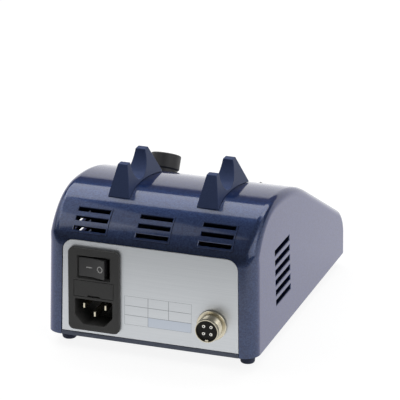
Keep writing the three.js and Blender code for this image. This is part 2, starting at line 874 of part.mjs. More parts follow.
// Mains inlet module, in a frame with z = 0 on the rear plate's face and its centre at x = y = 0
const drawerTop = inletTopMargin + powerWellHeight + wellToDrawer;
const mainsRecessTop = drawerTop + drawerHeight + drawerToRecess;
const inletWidth = mainsRecessWidth + 2 * inletSideMargin;
const inletHeight = mainsRecessTop + mainsRecessHeight + inletBottomMargin;
const inletBodyWidth = inletWidth - 2 * inletShoulder;
const inletBodyHeight = inletHeight - 2 * inletShoulder;
const drawerWidth = inletBodyWidth - 2 * drawerSideWall;
const flangeFace = inletFlange + fitGap;
const fromInletTop = (down) => inletHeight / 2 - down;
const powerWellY = fromInletTop(inletTopMargin + powerWellHeight / 2);
const drawerY = fromInletTop(drawerTop + drawerHeight / 2);
const mainsY = fromInletTop(mainsRecessTop + mainsRecessHeight / 2);
const mainsPins = {
  line_pin: [-mainsPinSpacing / 2, mainsY + livePinAbove],
  neutral_pin: [mainsPinSpacing / 2, mainsY + livePinAbove],
  earth_pin: [0, mainsY - earthPinBelow],
};

function inletBody() {
  const flangeShape = roundedRectangle(inletWidth, inletHeight, inletCornerRadius);
  const flange = softSlab(flangeShape, fitGap, flangeFace, inletEdge);
  const bodyShape = block(inletBodyWidth, inletBodyHeight, -inletBodyDepth, flangeFace / 2);
  const wellStep = block(
    powerWellWidth,
    powerWellHeight,
    flangeFace - powerWellStep,
    flangeFace + overrun,
    0,
    powerWellY,
  );
  const wells = rockerWell(powerRockerLength, powerRockerWidth, powerRockerRise).map((tool) =>
    tool.translate([0, powerWellY, flangeFace]),
  );
  const drawerPocket = block(
    drawerWidth + 2 * fitGap,
    drawerHeight + 2 * fitGap,
    flangeFace - drawerDepth - fitGap,
    flangeFace + overrun,
    0,
    drawerY,
  );
  const [x, y] = [mainsRecessWidth / 2, mainsRecessHeight / 2];
  const recess = polygon([
    [-x + mainsChamferAcross, mainsY - y],
    [x - mainsChamferAcross, mainsY - y],
    [x, mainsY - y + mainsChamferUp],
    [x, mainsY + y],
    [-x, mainsY + y],
    [-x, mainsY - y + mainsChamferUp],
  ]);
  const pinHoles = Object.values(mainsPins).map(([pinX, pinY]) =>
    solid(
      block(
        mainsPinThickness + 2 * fitGap,
        mainsPinHeight + 2 * fitGap,
        -inletBodyDepth - overrun,
        flangeFace,
        pinX,
        pinY,
      ),
    ),
  );
  return cut(
    join(solid(flange), solid(bodyShape)),
    solid(wellStep),
    ...wells,
    solid(drawerPocket),
    solid(slab(recess, flangeFace - mainsRecessDepth, flangeFace + overrun)),
    ...pinHoles,
  );
}

// A flat pin with its tip drawn in on all four sides
function mainsPin([x, y]) {
  const tip = flangeFace - mainsPinTip;
  const tail = -inletBodyDepth - mainsPinTail;
  const length = tip - tail;
  const blank = block(mainsPinThickness, mainsPinHeight, tail, tip, x, y);
  const sides = polygon([
    [-mainsPinThickness / 2, tail],
    [mainsPinThickness / 2, tail],
    [mainsPinThickness / 2, tip - 2 * mainsPinTaper],
    [mainsPinThickness / 2 - mainsPinTaper, tip],
    [mainsPinTaper - mainsPinThickness / 2, tip],
    [-mainsPinThickness / 2, tip - 2 * mainsPinTaper],
  ]);
  const upright = new THREE.Matrix4().makeRotationX(Math.PI / 2).premultiply(moved(x, y, 0));
  return solid(blank).intersect(solid(slab(sides, -length, length), upright));
}

function fuseDrawer() {
  const face = block(
    drawerWidth,
    drawerHeight,
    flangeFace - drawerFaceThickness,
    flangeFace,
    0,
    drawerY,
  );
  const tray = block(
    drawerWidth - 2 * fitGap,
    drawerHeight - 2 * fitGap,
    flangeFace - drawerDepth,
    flangeFace - drawerFaceThickness / 2,
    0,
    drawerY,
  );
  const bed = fuseRadius + fitGap;
  const fuseBed = block(
    fuseLength + 2 * fitGap,
    drawerHeight,
    fuseZ - bed,
    fuseZ + bed,
    0,
    drawerY + drawerWall,
  );
  const notch = block(
    drawerNotchWidth,
    2 * drawerNotchDepth,
    flangeFace - drawerFaceThickness / 2,
    flangeFace + overrun,
    0,
    drawerY - drawerHeight / 2,
  );
  return cut(join(solid(face), solid(tray)), solid(fuseBed), solid(notch));
}

// The fuse lies across the drawer
const fuseZ = flangeFace - drawerDepth / 2 - drawerFaceThickness / 2;

function fuse() {
  const [half, glassHalf] = [fuseLength / 2, fuseLength / 2 - fuseCapLength];
  const tube = turned(
    [
      [0, -half],
      [fuseRadius, -half],
      [fuseRadius, -glassHalf],
      [fuseGlassRadius, -glassHalf],
      [fuseGlassRadius, glassHalf],
      [fuseRadius, glassHalf],
      [fuseRadius, half],
      [0, half],
    ],
    smallTurnedSteps,
  );
  return tube.rotateY(Math.PI / 2);
}

function inletModule() {
  const place = moved(inletX, inletCentreHeight, -plateRecess);
  const fusePiece = piece("fuse", fuse(), glass);
  const fuseFloor = drawerY + drawerWall - drawerHeight / 2;
  fusePiece.position.set(0, fuseFloor + fuseRadius + fitGap, fuseZ);
  const powerRocker = placedRocker(
    "power_rocker",
    powerRockerLength,
    powerRockerWidth,
    powerRockerRise,
    flangeFace,
  );
  powerRocker.position.y = powerWellY;
  return groupIn(
    place,
    piece("inlet_body", inletBody(), blackPlastic),
    piece("fuse_drawer", fuseDrawer(), blackPlastic),
    fusePiece,
    powerRocker,
    ...Object.entries(mainsPins).map(([name, at]) => piece(name, mainsPin(at), nickel)),
  );
}

// Output socket, in a frame with z = 0 on the rear plate's face
const socketBore = socketBarrelRadius - socketBarrelWall;
const socketRim = fitGap + socketReach;

function socketShell() {
  const tail = -plateThickness - socketTail;
  const flangeTop = fitGap + socketFlangeThickness;
  const shell = turned([
    [socketBore, tail],
    [socketBarrelRadius, tail],
    [socketBarrelRadius, fitGap],
    [socketFlangeRadius, fitGap],
    [socketFlangeRadius, flangeTop - socketEdge / 2],
    [socketFlangeRadius - socketEdge / 2, flangeTop],
    [socketBarrelRadius, flangeTop],
    [socketBarrelRadius, socketRim - socketEdge],
    [socketBarrelRadius - socketEdge, socketRim],
    [socketBore, socketRim],
    [socketBore, tail],
  ]);
  const key = block(
    socketKeyWidth,
    socketKeyDepth + socketBarrelWall / 2,
    socketRim - socketInsertSink + fitGap,
    socketRim - socketEdge,
    0,
    -socketBore + (socketKeyDepth - socketBarrelWall / 2) / 2,
  );
  return join(solid(shell), solid(key));
}

const contactPlaces = [];
for (let i = 0; i < contactCount; i++) {
  const angle = ((2 * i + 1) / contactCount) * Math.PI;
  const [x, y] = [Math.cos(angle), Math.sin(angle)].map((share) => contactCircleRadius * share);
  contactPlaces.push([x, y]);
}

function socketInsert() {
  const back = -plateThickness - socketTail - socketInsertTail;
  const face = socketRim - socketInsertSink;
  const holes = contactPlaces.map(([x, y]) =>
    solid(
      disc(contactRadius + fitGap, back - overrun, face + overrun, smallTurnedSteps),
      moved(x, y, 0),
    ),
  );
  return cut(solid(disc(socketBore - fitGap, back, face)), ...holes);
}

// A turned contact with a bore for the plug's pin
function socketContact() {
  const tip = socketRim - socketInsertSink + contactProud;
  const tail = -plateThickness - socketTail - socketInsertTail - contactTail;
  return turned(
    [
      [0, tail],
      [contactRadius, tail],
      [contactRadius, tip],
      [contactBore, tip],
      [contactBore, tip - contactBoreDepth],
      [0, tip - contactBoreDepth],
    ],
    smallTurnedSteps,
  );
}

const hexNut = (acrossCorners, bore, low, high) =>
  cut(
    solid(disc(acrossCorners / 2, low, high, hexSides)),
    solid(disc(bore, low - overrun, high + overrun, smallTurnedSteps)),
  );

function outputSocket() {
  const nutTop = -plateThickness - fitGap;
  const contacts = contactPlaces.map(([x, y], i) => {
    const mesh = piece(`socket_contact_${i + 1}`, socketContact(), brass);
    mesh.position.set(x, y, 0);
    return mesh;
  });
  const nut = hexNut(
    socketNutWidth,
    socketBarrelRadius + fitGap,
    nutTop - socketNutThickness,
    nutTop,
  );
  return groupIn(
    moved(socketX, socketHeight, -plateRecess),
    piece("socket_shell", socketShell(), nickel),
    piece("socket_insert", socketInsert(), blackPlastic),
    ...contacts,
    piece("socket_nut", nut, nickel),
  );
}

// Speed control: knob on the shaft of a potentiometer that is nutted into the control face
function speedKnob() {
  const top = fitGap + knobHeight;
  const body = turned([
    [shaftRadius + fitGap, fitGap + knobHollowDepth],
    [knobHollowRadius, fitGap + knobHollowDepth],
    [knobHollowRadius, fitGap],
    [knobWaistRadius, fitGap],
    [knobWaistRadius, fitGap + knobCollarHeight],
    [knobRadius, fitGap + knobCollarHeight + knobEdge],
    [knobRadius, top - knobEdge],
    [knobRadius - knobEdge * roundingShare, top - knobEdge * roundingShare],
    [knobRadius - knobEdge, top],
    [0, top],
    [0, fitGap + knobBoreDepth],
    [shaftRadius + fitGap, fitGap + knobBoreDepth],
    [shaftRadius + fitGap, fitGap + knobHollowDepth],
  ]);
  const pointer = block(
    knobPointerWidth,
    knobRadius,
    top - knobPointerDepth,
    top + overrun,
    0,
    knobRadius / 2 + knobEdge,
  );
  return cut(solid(body), solid(pointer));
}

function potentiometer() {
  const roof = -wallThickness - fitGap;
  return turned([
    [0, roof - potDepth],
    [potRadius, roof - potDepth],
    [potRadius, roof],
    [bushRadius, roof],
    [bushRadius, bushReach],
    [shaftRadius + fitGap, bushReach],
    [shaftRadius + fitGap, roof - potShaftSeat],
    [0, roof - potShaftSeat],
  ]);
}

function speedControl() {
  const shaftFoot = -wallThickness - potShaftSeat;
  const nut = hexNut(potNutWidth, bushRadius + fitGap, fitGap, fitGap + potNutThickness);
  const knob = piece("speed_knob", speedKnob(), gloss);
  knob.rotation.z = radians(knobTravelDeg / 2);
  return groupIn(
    moved(knobAcross, -knobDownSlope, 0),
    knob,
    piece("speed_shaft", disc(shaftRadius, shaftFoot, knobBoreDepth, coarseTurnedSteps), steel),
    piece("potentiometer", potentiometer(), aluminium),
    piece("potentiometer_nut", nut, nickel),
  );
}

// Front rocker switches
function switchBody() {
  const top = fitGap + switchBezelHeight;
  const bezel = softSlab(
    roundedRectangle(switchBezelLength, switchBezelWidth, 2 * switchBezelEdge),
    fitGap,
    top,
    switchBezelEdge,
  );
  const can = block(switchBodyLength, switchBodyWidth, -switchBodyDepth, top / 2);
  const well = rockerWell(switchRockerLength, switchRockerWidth, switchRockerRise).map((tool) =>
    tool.translate([0, 0, top]),
  );
  return cut(join(solid(bezel), solid(can)), ...well);
}

function frontSwitch(name, across) {
  const top = fitGap + switchBezelHeight;
  return groupIn(
    moved(across, -switchDownSlope, 0),
    piece(`${name}_switch`, switchBody(), blackPlastic),
    placedRocker(`${name}_rocker`, switchRockerLength, switchRockerWidth, switchRockerRise, top),
  );
}

// Indicator lamp: a red lens in a threaded holder
function indicatorLamp() {
  const brim = fitGap + lampHolderHeight;
  const holder = turned(
    [
      [lampRadius + fitGap, -lampBushDepth],
      [lampBushRadius, -lampBushDepth],
      [lampBushRadius, fitGap],
      [lampHolderRadius, fitGap],
      [lampHolderRadius - lampHolderHeight / 2, brim],
      [lampRadius + fitGap, brim],
      [lampRadius + fitGap, -lampBushDepth],
    ],
    mediumTurnedSteps,
  );
  const seat = -lampBushDepth - fitGap;
  const lens = turned(
    [
      [0, seat - lampFlangeThickness],
      [lampFlangeRadius, seat - lampFlangeThickness],
      [lampFlangeRadius, seat],
      [lampRadius, seat],
      [lampRadius, brim],
      [lampRadius * Math.SQRT1_2, brim + lampRadius * (1 - Math.SQRT1_2)],
      [0, brim + lampRadius / 2],
    ],
    smallTurnedSteps,
  );
  return groupIn(
    moved(lampAcross, -lampDownSlope, 0),
    piece("lamp_holder", holder, nickel),
    piece("lamp_lens", lens, lampRed),
  );
}

// Handpiece socket on the control face
function handpieceSocket() {
  const rim = fitGap + motorSocketRim;
  const shell = turned([
    [motorSocketBoreRadius, -motorSocketDepth],
    [motorSocketBushRadius, -motorSocketDepth],
    [motorSocketBushRadius, fitGap],
    [motorSocketRadius, fitGap],
    [motorSocketRadius, rim - socketEdge],
    [motorSocketRadius - socketEdge, rim],
    [motorSocketBoreRadius, rim],
    [motorSocketBoreRadius, -motorSocketDepth],
  ]);
  const face = rim - motorSocketSink;
  const holes = [];
  for (let i = 0; i < motorContactCount; i++) {
    const angle = (i / (motorContactCount - 1)) * Math.PI;
    const x = motorContactCircleRadius * Math.cos(angle);
    const y = motorContactCircleRadius * Math.sin(angle);
    const floor = face - motorContactHoleDepth;
    const hole = disc(motorContactHole, floor, face + overrun, coarseTurnedSteps);
    holes.push(solid(hole, moved(x, y, 0)));
  }
  const back = -motorSocketDepth - motorContactHoleDepth;
  const insert = cut(solid(disc(motorSocketBoreRadius - fitGap, back, face)), ...holes);
  const nutTop = -wallThickness - fitGap;
  const nut = hexNut(
    motorNutWidth,
    motorSocketBushRadius + fitGap,
    nutTop - motorNutThickness,
    nutTop,
  );
  return groupIn(
    moved(motorSocketAcross, -motorSocketDownSlope, 0),
    piece("motor_socket_shell", shell, nickel),
    piece("motor_socket_insert", insert, blackPlastic),
    piece("motor_socket_nut", nut, nickel),
  );
}

// Transformer: a stack of E and I sheets with the winding round its middle limb, strapped down.
// The sheets follow the usual proportions, so everything is a share of the core's width.
const coreLimb = coreWidth / 3;
const coreWindow = coreWidth / 6;
const windowHeight = coreHeight - 2 * coreWindow;
const coreFloor = baseThickness;

function transformerCore() {
  const blank = block(coreWidth, coreStack, coreFloor, coreFloor + coreHeight, 0, coreCentre);
  const window = (side) =>
    block(
      coreWindow,
      coreStack + 2 * overrun,
      coreFloor + coreWindow,
      coreFloor + coreWindow + windowHeight,
      (side * (coreLimb + coreWindow)) / 2,
      coreCentre,
    );
  return cut(solid(blank), solid(window(-1)), solid(window(1)));
}

function transformerCoil() {
  const width = coreLimb + 2 * (coreWindow - fitGap);
  const depth = coreStack + 2 * coilOverhang;
  const low = coreFloor + coreWindow + fitGap;
  const high = coreFloor + coreWindow + windowHeight - fitGap;
  const winding = slab(roundedRectangle(width, depth, coilCornerRadius), low, high);
  const limb = block(
    coreLimb + 2 * fitGap,
    coreStack + 2 * fitGap,
    low - overrun,
    high + overrun,
  );
  return cut(solid(winding), solid(limb)).translate([0, coreCentre, 0]);
}

const strapSpan = coreWidth / 2 + fitGap;
const strapFootMiddle = strapSpan + strapThickness + strapFoot / 2;

function transformerStrap() {
  const inner = strapSpan;
  const outer = inner + strapThickness;
  const roof = coreFloor + coreHeight + fitGap;
  const footTop = coreFloor + strapThickness;
  const outline = polygon([
    [-outer - strapFoot, coreFloor],
    [-inner, coreFloor],
    [-inner, roof],
    [inner, roof],
    [inner, coreFloor],
    [outer + strapFoot, coreFloor],
    [outer + strapFoot, footTop],
    [outer, footTop],
    [outer, roof + strapThickness],
    [-outer, roof + strapThickness],
    [-outer, footTop],
    [-outer - strapFoot, footTop],
  ]);
  const upright = new THREE.Matrix4().makeRotationX(Math.PI / 2);
  const strap = solid(slab(outline, -strapWidth / 2, strapWidth / 2), upright);
  const hole = (side) => {
    const bore = disc(strapScrewRadius + fitGap, 0, footTop + overrun, coarseTurnedSteps);
    return solid(bore, moved(side * strapFootMiddle, 0, 0));
  };
  return cut(strap, hole(-1), hole(1));
}

function strapScrew() {
  const seat = coreFloor + strapThickness;
  return turned(
    [
      [0, coreFloor],
      [strapScrewRadius, coreFloor],
      [strapScrewRadius, seat],
      [strapScrewHeadRadius, seat],
      [strapScrewHeadRadius, seat + strapScrewHeadHeight / 2],
      [strapScrewHeadRadius * headTopShare, seat + strapScrewHeadHeight],
      [0, seat + strapScrewHeadHeight],
    ],
    coarseTurnedSteps,
  );
}

function transformer() {
  const strap = piece("transformer_strap", transformerStrap(), steel);
  strap.position.y = coreCentre;
  const screws = Object.entries(bothSides).map(([side, sign]) => {
    const mesh = piece(`strap_screw_${side}`, strapScrew(), steel);
    mesh.position.set(sign * strapFootMiddle, coreCentre, 0);
    return mesh;
  });
  return groupIn(
    moved(coreAcross, 0, 0),
    piece("transformer_core", transformerCore(), laminations),
    piece("transformer_coil", transformerCoil(), copper),
    strap,
    ...screws,
  );
}

// Speed regulator board on four standoffs, with its heat sink and capacitors
const boardWidth = housingWidth - 2 * boardFromSide;
const boardLength = housingLength - boardFromRear - boardFromFront;
const boardTop = boardHeight + boardThickness;
const boardMiddle = -boardFromRear - boardLength / 2;
const capacitorPlaces = {
  left: boardWidth / 2 - capacitorFromBoardSide - capacitorSpacing,
  right: boardWidth / 2 - capacitorFromBoardSide,
};
const sinkLeft = sinkFromBoardSide - boardWidth / 2;
const sinkWidth = capacitorPlaces.left - capacitorRadius - sinkFromCapacitor - sinkLeft;

function heatSink() {
  const foot = boardTop;
  const plate = block(sinkWidth, sinkPlate, foot, foot + sinkHeight);
  const fins = [];
  const finThickness = sinkPlate / 2;
  for (let i = 0; i < sinkFins; i++) {
    const x = (i / (sinkFins - 1) - 1 / 2) * (sinkWidth - finThickness);
    const depth = sinkFinDepth + sinkPlate / 2;
    fins.push(solid(block(finThickness, depth, foot, foot + sinkHeight, x, -depth / 2)));
  }
  return join(solid(plate), ...fins);
}

function capacitor() {
  const [low, high] = [boardTop, boardTop + capacitorHeight];
  return turned(
    [
      [0, low],
      [capacitorRadius, low],
      [capacitorRadius, high - capacitorEdge],
      [capacitorRadius - capacitorEdge, high],
      [0, high],
    ],
    mediumTurnedSteps,
  );
}

function regulatorBoard() {
  const board = block(boardWidth, boardLength, boardHeight, boardTop, 0, boardMiddle);
  const standoffX = boardWidth / 2 - standoffInset;
  const standoffPlaces = {
    rear: boardMiddle + boardLength / 2 - standoffInset,
    front: boardMiddle - boardLength / 2 + standoffInset,
  };
  const standoffs = eachPlace(standoffPlaces, standoffX, (place, x, y) => {
    const post = disc(standoffRadius, baseThickness, boardHeight, coarseTurnedSteps);
    const mesh = piece(`standoff_${place}`, post, nickel);
    mesh.position.set(x, y, 0);
    return mesh;
  });
  const rearEnd = boardMiddle + boardLength / 2;
  const sink = piece("heat_sink", heatSink(), aluminium);
  sink.position.set(sinkLeft + sinkWidth / 2, rearEnd - sinkFromBoardEnd, 0);
  const capacitors = Object.entries(capacitorPlaces).map(([side, x]) => {
    const mesh = piece(`capacitor_${side}`, capacitor(), sleeveBlack);
    mesh.position.set(x, rearEnd - capacitorFromBoardEnd, 0);
    return mesh;
  });
  return [piece("circuit_board", board, boardGreen), ...standoffs, sink, ...capacitors];
}

// The whole control box
const box = new THREE.Group();
box.add(
  piece("housing_shell", housingShell(), navyPlastic),
  piece("base_plate", basePlate(), navyPlastic),
  ...eachPlace(footPlaces, footX, (place, x, y) => {
    const mesh = piece(`foot_${place}`, foot(), navyPlastic);
    mesh.position.set(x, y, 0);
    return mesh;
  }),
  ...eachPlace(screwPlaces, screwX, (place, x, y) => {
    const mesh = piece(`base_screw_${place}`, baseScrew(), steel);
    mesh.position.set(x, y, 0);
    return mesh;
  }),
  piece("rest_left", handpieceRest(-restSpacing / 2), navyPlastic),
  piece("rest_right", handpieceRest(restSpacing / 2), navyPlastic),
  groupIn(rearFrame, piece("rear_plate", rearPlate(), plateMetal), inletModule(), outputSocket()),
  groupIn(
    slopeFrame,
    speedControl(),
    frontSwitch("direction", directionAcross),
    frontSwitch("selector", selectorAcross),
    indicatorLamp(),
    handpieceSocket(),
  ),
  transformer(),
  ...regulatorBoard(),
);

// The socket's rim is the rearmost point and the nose the foremost
const rearmost = socketRim - plateRecess;
box.position.set(0, (housingLength - rearmost) / 2, footHeight);

const controlBox = new THREE.Group();
controlBox.add(box);

export default controlBox;
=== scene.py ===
# %% [markdown]
# # Control box of a dental laboratory micromotor
# The box stands on a dental technician's bench and feeds the small motor in the handpiece. It is a
# vented, glossy navy moulding with a slope at the front, two rests for the handpiece on its crown,
# and a metal plate with the mains inlet and a round socket at the rear.
#
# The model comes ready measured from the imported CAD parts, which carry every movement. This script
# gives them their looks. It draws in millimetres, in the same frames as the part's source, and
# only the last step of each piece turns it into metres.

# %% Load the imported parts
import json
import math

import bmesh
import bpy
from mathutils import Matrix, Vector

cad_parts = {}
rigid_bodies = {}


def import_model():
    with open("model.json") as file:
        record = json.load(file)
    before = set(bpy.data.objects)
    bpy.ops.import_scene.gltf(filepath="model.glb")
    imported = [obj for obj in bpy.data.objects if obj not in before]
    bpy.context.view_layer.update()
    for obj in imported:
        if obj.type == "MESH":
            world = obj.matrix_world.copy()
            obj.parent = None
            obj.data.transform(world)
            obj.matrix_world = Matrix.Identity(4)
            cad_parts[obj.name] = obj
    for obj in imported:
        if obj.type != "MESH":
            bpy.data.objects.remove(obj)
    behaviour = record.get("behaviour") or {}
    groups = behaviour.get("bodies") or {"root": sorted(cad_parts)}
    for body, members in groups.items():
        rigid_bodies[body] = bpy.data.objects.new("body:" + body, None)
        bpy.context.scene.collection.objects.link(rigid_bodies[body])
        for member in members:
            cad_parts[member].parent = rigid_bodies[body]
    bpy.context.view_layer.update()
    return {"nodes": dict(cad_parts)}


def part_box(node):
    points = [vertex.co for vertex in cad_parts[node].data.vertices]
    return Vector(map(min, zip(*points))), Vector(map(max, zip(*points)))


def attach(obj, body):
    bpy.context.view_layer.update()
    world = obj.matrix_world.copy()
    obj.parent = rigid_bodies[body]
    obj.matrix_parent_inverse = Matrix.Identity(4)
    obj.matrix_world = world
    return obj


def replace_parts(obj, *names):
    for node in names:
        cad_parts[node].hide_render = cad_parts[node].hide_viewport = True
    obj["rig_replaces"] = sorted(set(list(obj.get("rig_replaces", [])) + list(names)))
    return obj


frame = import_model()
MM = 0.001

# %% [markdown]
# ## Camera
# The photograph was taken with a long lens from behind and above, so the box hardly tapers. The
# lens and the place were fitted to the box's own edges, and the camera leans by half a degree.

# %% Camera
CAMERA_PLACE = Vector((-0.5203, 1.5462, 0.6655))
CAMERA_FORWARD = Vector((0.2994, -0.8907, -0.342))
CAMERA_LENS = 245.25
SENSOR_WIDTH = 36
CAMERA_ROLL = math.radians(0.5)


def make_camera():
    data = bpy.data.cameras.new("camera")
    data.lens = CAMERA_LENS
    data.sensor_width = SENSOR_WIDTH
    camera = bpy.data.objects.new("camera", data)
    level = CAMERA_FORWARD.to_track_quat("-Z", "Y").to_matrix().to_4x4()
    camera.matrix_world = (
        Matrix.Translation(CAMERA_PLACE) @ level @ Matrix.Rotation(CAMERA_ROLL, 4, "Z")
    )
    bpy.context.scene.collection.objects.link(camera)
    bpy.context.scene.camera = camera
    return camera


print("camera at", tuple(round(c, 3) for c in make_camera().location))

# %% [markdown]
# ## Nodes and colours
# Every finish below is made of nodes, and one small function adds them all: it makes a node, sets
# its options, and fills or links its inputs. Colours are written as a picture editor shows them
# and turned into the linear values that light is reckoned in. Patterns are given by their real
# size in millimetres, so that their scale can be checked against the real surface.


# %% Node helpers
def add(tree, kind, inputs=None, **settings):
    """Adds a node. An input may be a value or another node's output."""
    node = tree.nodes.new(kind)
    for name, value in settings.items():
        setattr(node, name, value)
    for socket, value in (inputs or {}).items():
        if isinstance(value, bpy.types.NodeSocket):
            tree.links.new(value, node.inputs[socket])
        else:
            node.inputs[socket].default_value = value
    return node


def linear(code):
    """The linear colour of an sRGB hex code, with full alpha."""
    shares = [int(code[i : i + 2], 16) / 255 for i in (1, 3, 5)]
    curve = [s / 12.92 if s <= 0.04045 else ((s + 0.055) / 1.055) ** 2.4 for s in shares]
    return (*curve, 1.0)


def per(size):
    """How many patterns of this size in millimetres fit into a metre."""
    return 1 / (size * MM)


print("navy in linear light", [round(c, 3) for c in linear("#242f50")])

# %% [markdown]
# ### How a material begins and ends
# No real surface is one flat colour. So every material here reads a pattern at the place on the
# piece, and the pattern's share runs the colour between a dark and a light tone. Roughness may
# follow the same share between two values, and so may a fine relief. This beginning and this end
# are written once, and a finish only adds the pattern that is its own.

# %% Material helpers
# The inputs and the output of a Mix node that blends colours
MIX_SHARE, MIX_FIRST, MIX_SECOND, MIX_RESULT = 0, 6, 7, 2


def blank_material(name):
    """An empty material, its node tree, and the place on the object that patterns read."""
    material = bpy.data.materials.new(name)
    material.use_nodes = True
    tree = material.node_tree
    tree.nodes.clear()
    return material, tree, add(tree, "ShaderNodeTexCoord").outputs["Object"]


def close_material(material, share, tones, inputs, relief=None):
    """Ends a material. Roughness may be a pair, and relief is a strength and a depth."""
    tree, inputs = material.node_tree, dict(inputs)
    tone = add(
        tree,
        "ShaderNodeMix",
        {MIX_SHARE: share, MIX_FIRST: linear(tones[0]), MIX_SECOND: linear(tones[1])},
        data_type="RGBA",
    )
    inputs["Base Color"] = tone.outputs[MIX_RESULT]
    if isinstance(inputs["Roughness"], tuple):
        low, high = inputs["Roughness"]
        gloss = add(tree, "ShaderNodeMapRange", {"Value": share, "To Min": low, "To Max": high})
        inputs["Roughness"] = gloss.outputs["Result"]
    if relief:
        strength, depth = relief
        bump = add(
            tree,
            "ShaderNodeBump",
            {"Height": share, "Strength": strength, "Distance": depth * MM},
        )
        inputs["Normal"] = bump.outputs["Normal"]
    shader = add(tree, "ShaderNodeBsdfPrincipled", inputs)
    add(tree, "ShaderNodeOutputMaterial", {"Surface": shader.outputs["BSDF"]})
    return material


print("a blend's inputs", MIX_SHARE, MIX_FIRST, MIX_SECOND)

# %% [markdown]
# ## Navy housing plastic
# The housing is ABS, injection moulded and painted with a metallic navy under a clear coat. The
# eye sees a deep blue, a fine sparkle of flakes, and a sharp, faintly wavy reflection on top. Real
# flakes are finer than a pixel, so they are drawn about 0.7 mm wide to show at all.

# %% Navy housing plastic
FLAKE_SIZE, ORANGE_PEEL = 0.7, 3.0


def navy_coated_abs():
    material, tree, place = blank_material("navy_coated_abs")
    flakes = add(tree, "ShaderNodeTexVoronoi", {"Vector": place, "Scale": per(FLAKE_SIZE)})
    shades = add(tree, "ShaderNodeSeparateColor", {"Color": flakes.outputs["Color"]})
    peel = add(
        tree, "ShaderNodeTexNoise", {"Vector": place, "Scale": per(ORANGE_PEEL), "Detail": 2.0}
    )
    waves = add(
        tree,
        "ShaderNodeBump",
        {"Height": peel.outputs["Fac"], "Strength": 0.06, "Distance": 0.1 * MM},
    ).outputs["Normal"]
    paint = {
        "Metallic": 0.85,
        "Roughness": 0.4,
        "Specular IOR Level": 0.0,
        "Specular Tint": linear("#7888cc"),
        "Normal": waves,
        "Coat Weight": 1.0,
        "Coat Roughness": 0.09,
        "Coat IOR": 1.5,
        "Coat Normal": waves,
    }
    return close_material(material, shades.outputs["Red"], ("#242f50", "#344468"), paint)


NAVY = navy_coated_abs()
print("made", NAVY.name)

# %% [markdown]
# ## Plate metal
# The rear plate is aluminium sheet, brushed along its length and clear anodised. Brushing gives
# it a silky grey that mirrors the bench only as a blur, with fine streaks that run sideways. A
# noise that is stretched a hundredfold makes such streaks, and it runs tone and gloss together.

# %% Plate metal
BRUSH_ACROSS, BRUSH_ALONG = 0.35, 40.0


def brushed_aluminium():
    material, tree, place = blank_material("brushed_anodised_aluminium")
    stretch = (per(BRUSH_ALONG), per(BRUSH_ACROSS), per(BRUSH_ACROSS))
    stretched = add(tree, "ShaderNodeMapping", {"Vector": place, "Scale": stretch})
    streaks = add(
        tree,
        "ShaderNodeTexNoise",
        {"Vector": stretched.outputs["Vector"], "Scale": 1.0, "Detail": 3.0},
    )
    sheet = {"Metallic": 0.85, "Roughness": (0.36, 0.42)}
    return close_material(material, streaks.outputs["Fac"], ("#c8ccd0", "#d8dbde"), sheet)


PLATE = brushed_aluminium()
print("made", PLATE.name)

# %% [markdown]
# ## Moulded plastics and rubber
# The inlet module, the switches, the socket inserts and the base are glass-filled nylon or ABS
# from an eroded mould, whose fine pits break the gloss. The rockers come from a polished mould,
# the knob is a soft-touch moulding, and the feet are rubber. All are one recipe, a fine grain in
# tone and relief, because they differ only in colour, grain and gloss.

# %% Moulded plastics and rubber
GRAIN_DETAIL, GRAIN_STRENGTH = 4.0, 0.5


def grained(name, tones, size, detail, inputs, relief=None):
    """A finish whose tone follows a noise of the given size in millimetres."""
    material, tree, place = blank_material(name)
    noise = {"Vector": place, "Scale": per(size), "Detail": detail}
    grain = add(tree, "ShaderNodeTexNoise", noise)
    return close_material(material, grain.outputs["Fac"], tones, inputs, relief)


def moulded_plastic(name, tones, grain, depth, roughness, shine=0.5):
    """A plastic with pits about grain millimetres wide and depth millimetres deep."""
    gloss = {"Roughness": roughness, "Specular IOR Level": shine}
    return grained(name, tones, grain, GRAIN_DETAIL, gloss, (GRAIN_STRENGTH, depth))


# Matt navy, which shows the shape of the rests by shade alone
REST_ABS = moulded_plastic("matt_navy_abs", ("#3b4665", "#4c597e"), 0.6, 0.02, 0.32, 0.035)
# Dull black with a fine grain
INLET_NYLON = moulded_plastic("eroded_nylon", ("#3a3a3a", "#474746"), 0.6, 0.03, 0.55)
# Slate with a coarser grain, of which only the thin edge of the base shows
BASE_ABS = moulded_plastic("eroded_abs", ("#666d80", "#777e92"), 0.9, 0.05, 0.5)
# Deep black with a soft shine and no grain that the eye could see
ROCKER_GLOSS = moulded_plastic("polished_nylon", ("#232324", "#2b2b2c"), 4.0, 0.01, 0.3)
# Black that swallows light, so the contacts stand out from it
SOCKET_NYLON = moulded_plastic("filled_nylon", ("#1d1c1a", "#282724"), 0.5, 0.02, 0.5, 0.2)
# Velvety dark grey
KNOB_RUBBER = moulded_plastic("soft_touch_plastic", ("#2c2c2e", "#3a3a3c"), 0.5, 0.03, 0.5)
# Dull slate blue
FOOT_RUBBER = moulded_plastic("moulded_rubber", ("#333950", "#40465d"), 0.8, 0.06, 0.75)
print("plastics", INLET_NYLON.name, BASE_ABS.name, ROCKER_GLOSS.name, KNOB_RUBBER.name)

# %% [markdown]
# ## Turned, plated and cast metals
# Nickel plate on turned brass is bright and faintly warm. Screws are zinc-plated steel, duller
# and bluer. The heat sink is raw aluminium. These metals share one recipe too: a slight
# cloudiness in tone and gloss, which keeps a small turned part from looking like a mirror ball.

# %% Metals
CLOUD_DETAIL, GLOSS_SPREAD = 3.0, 0.08


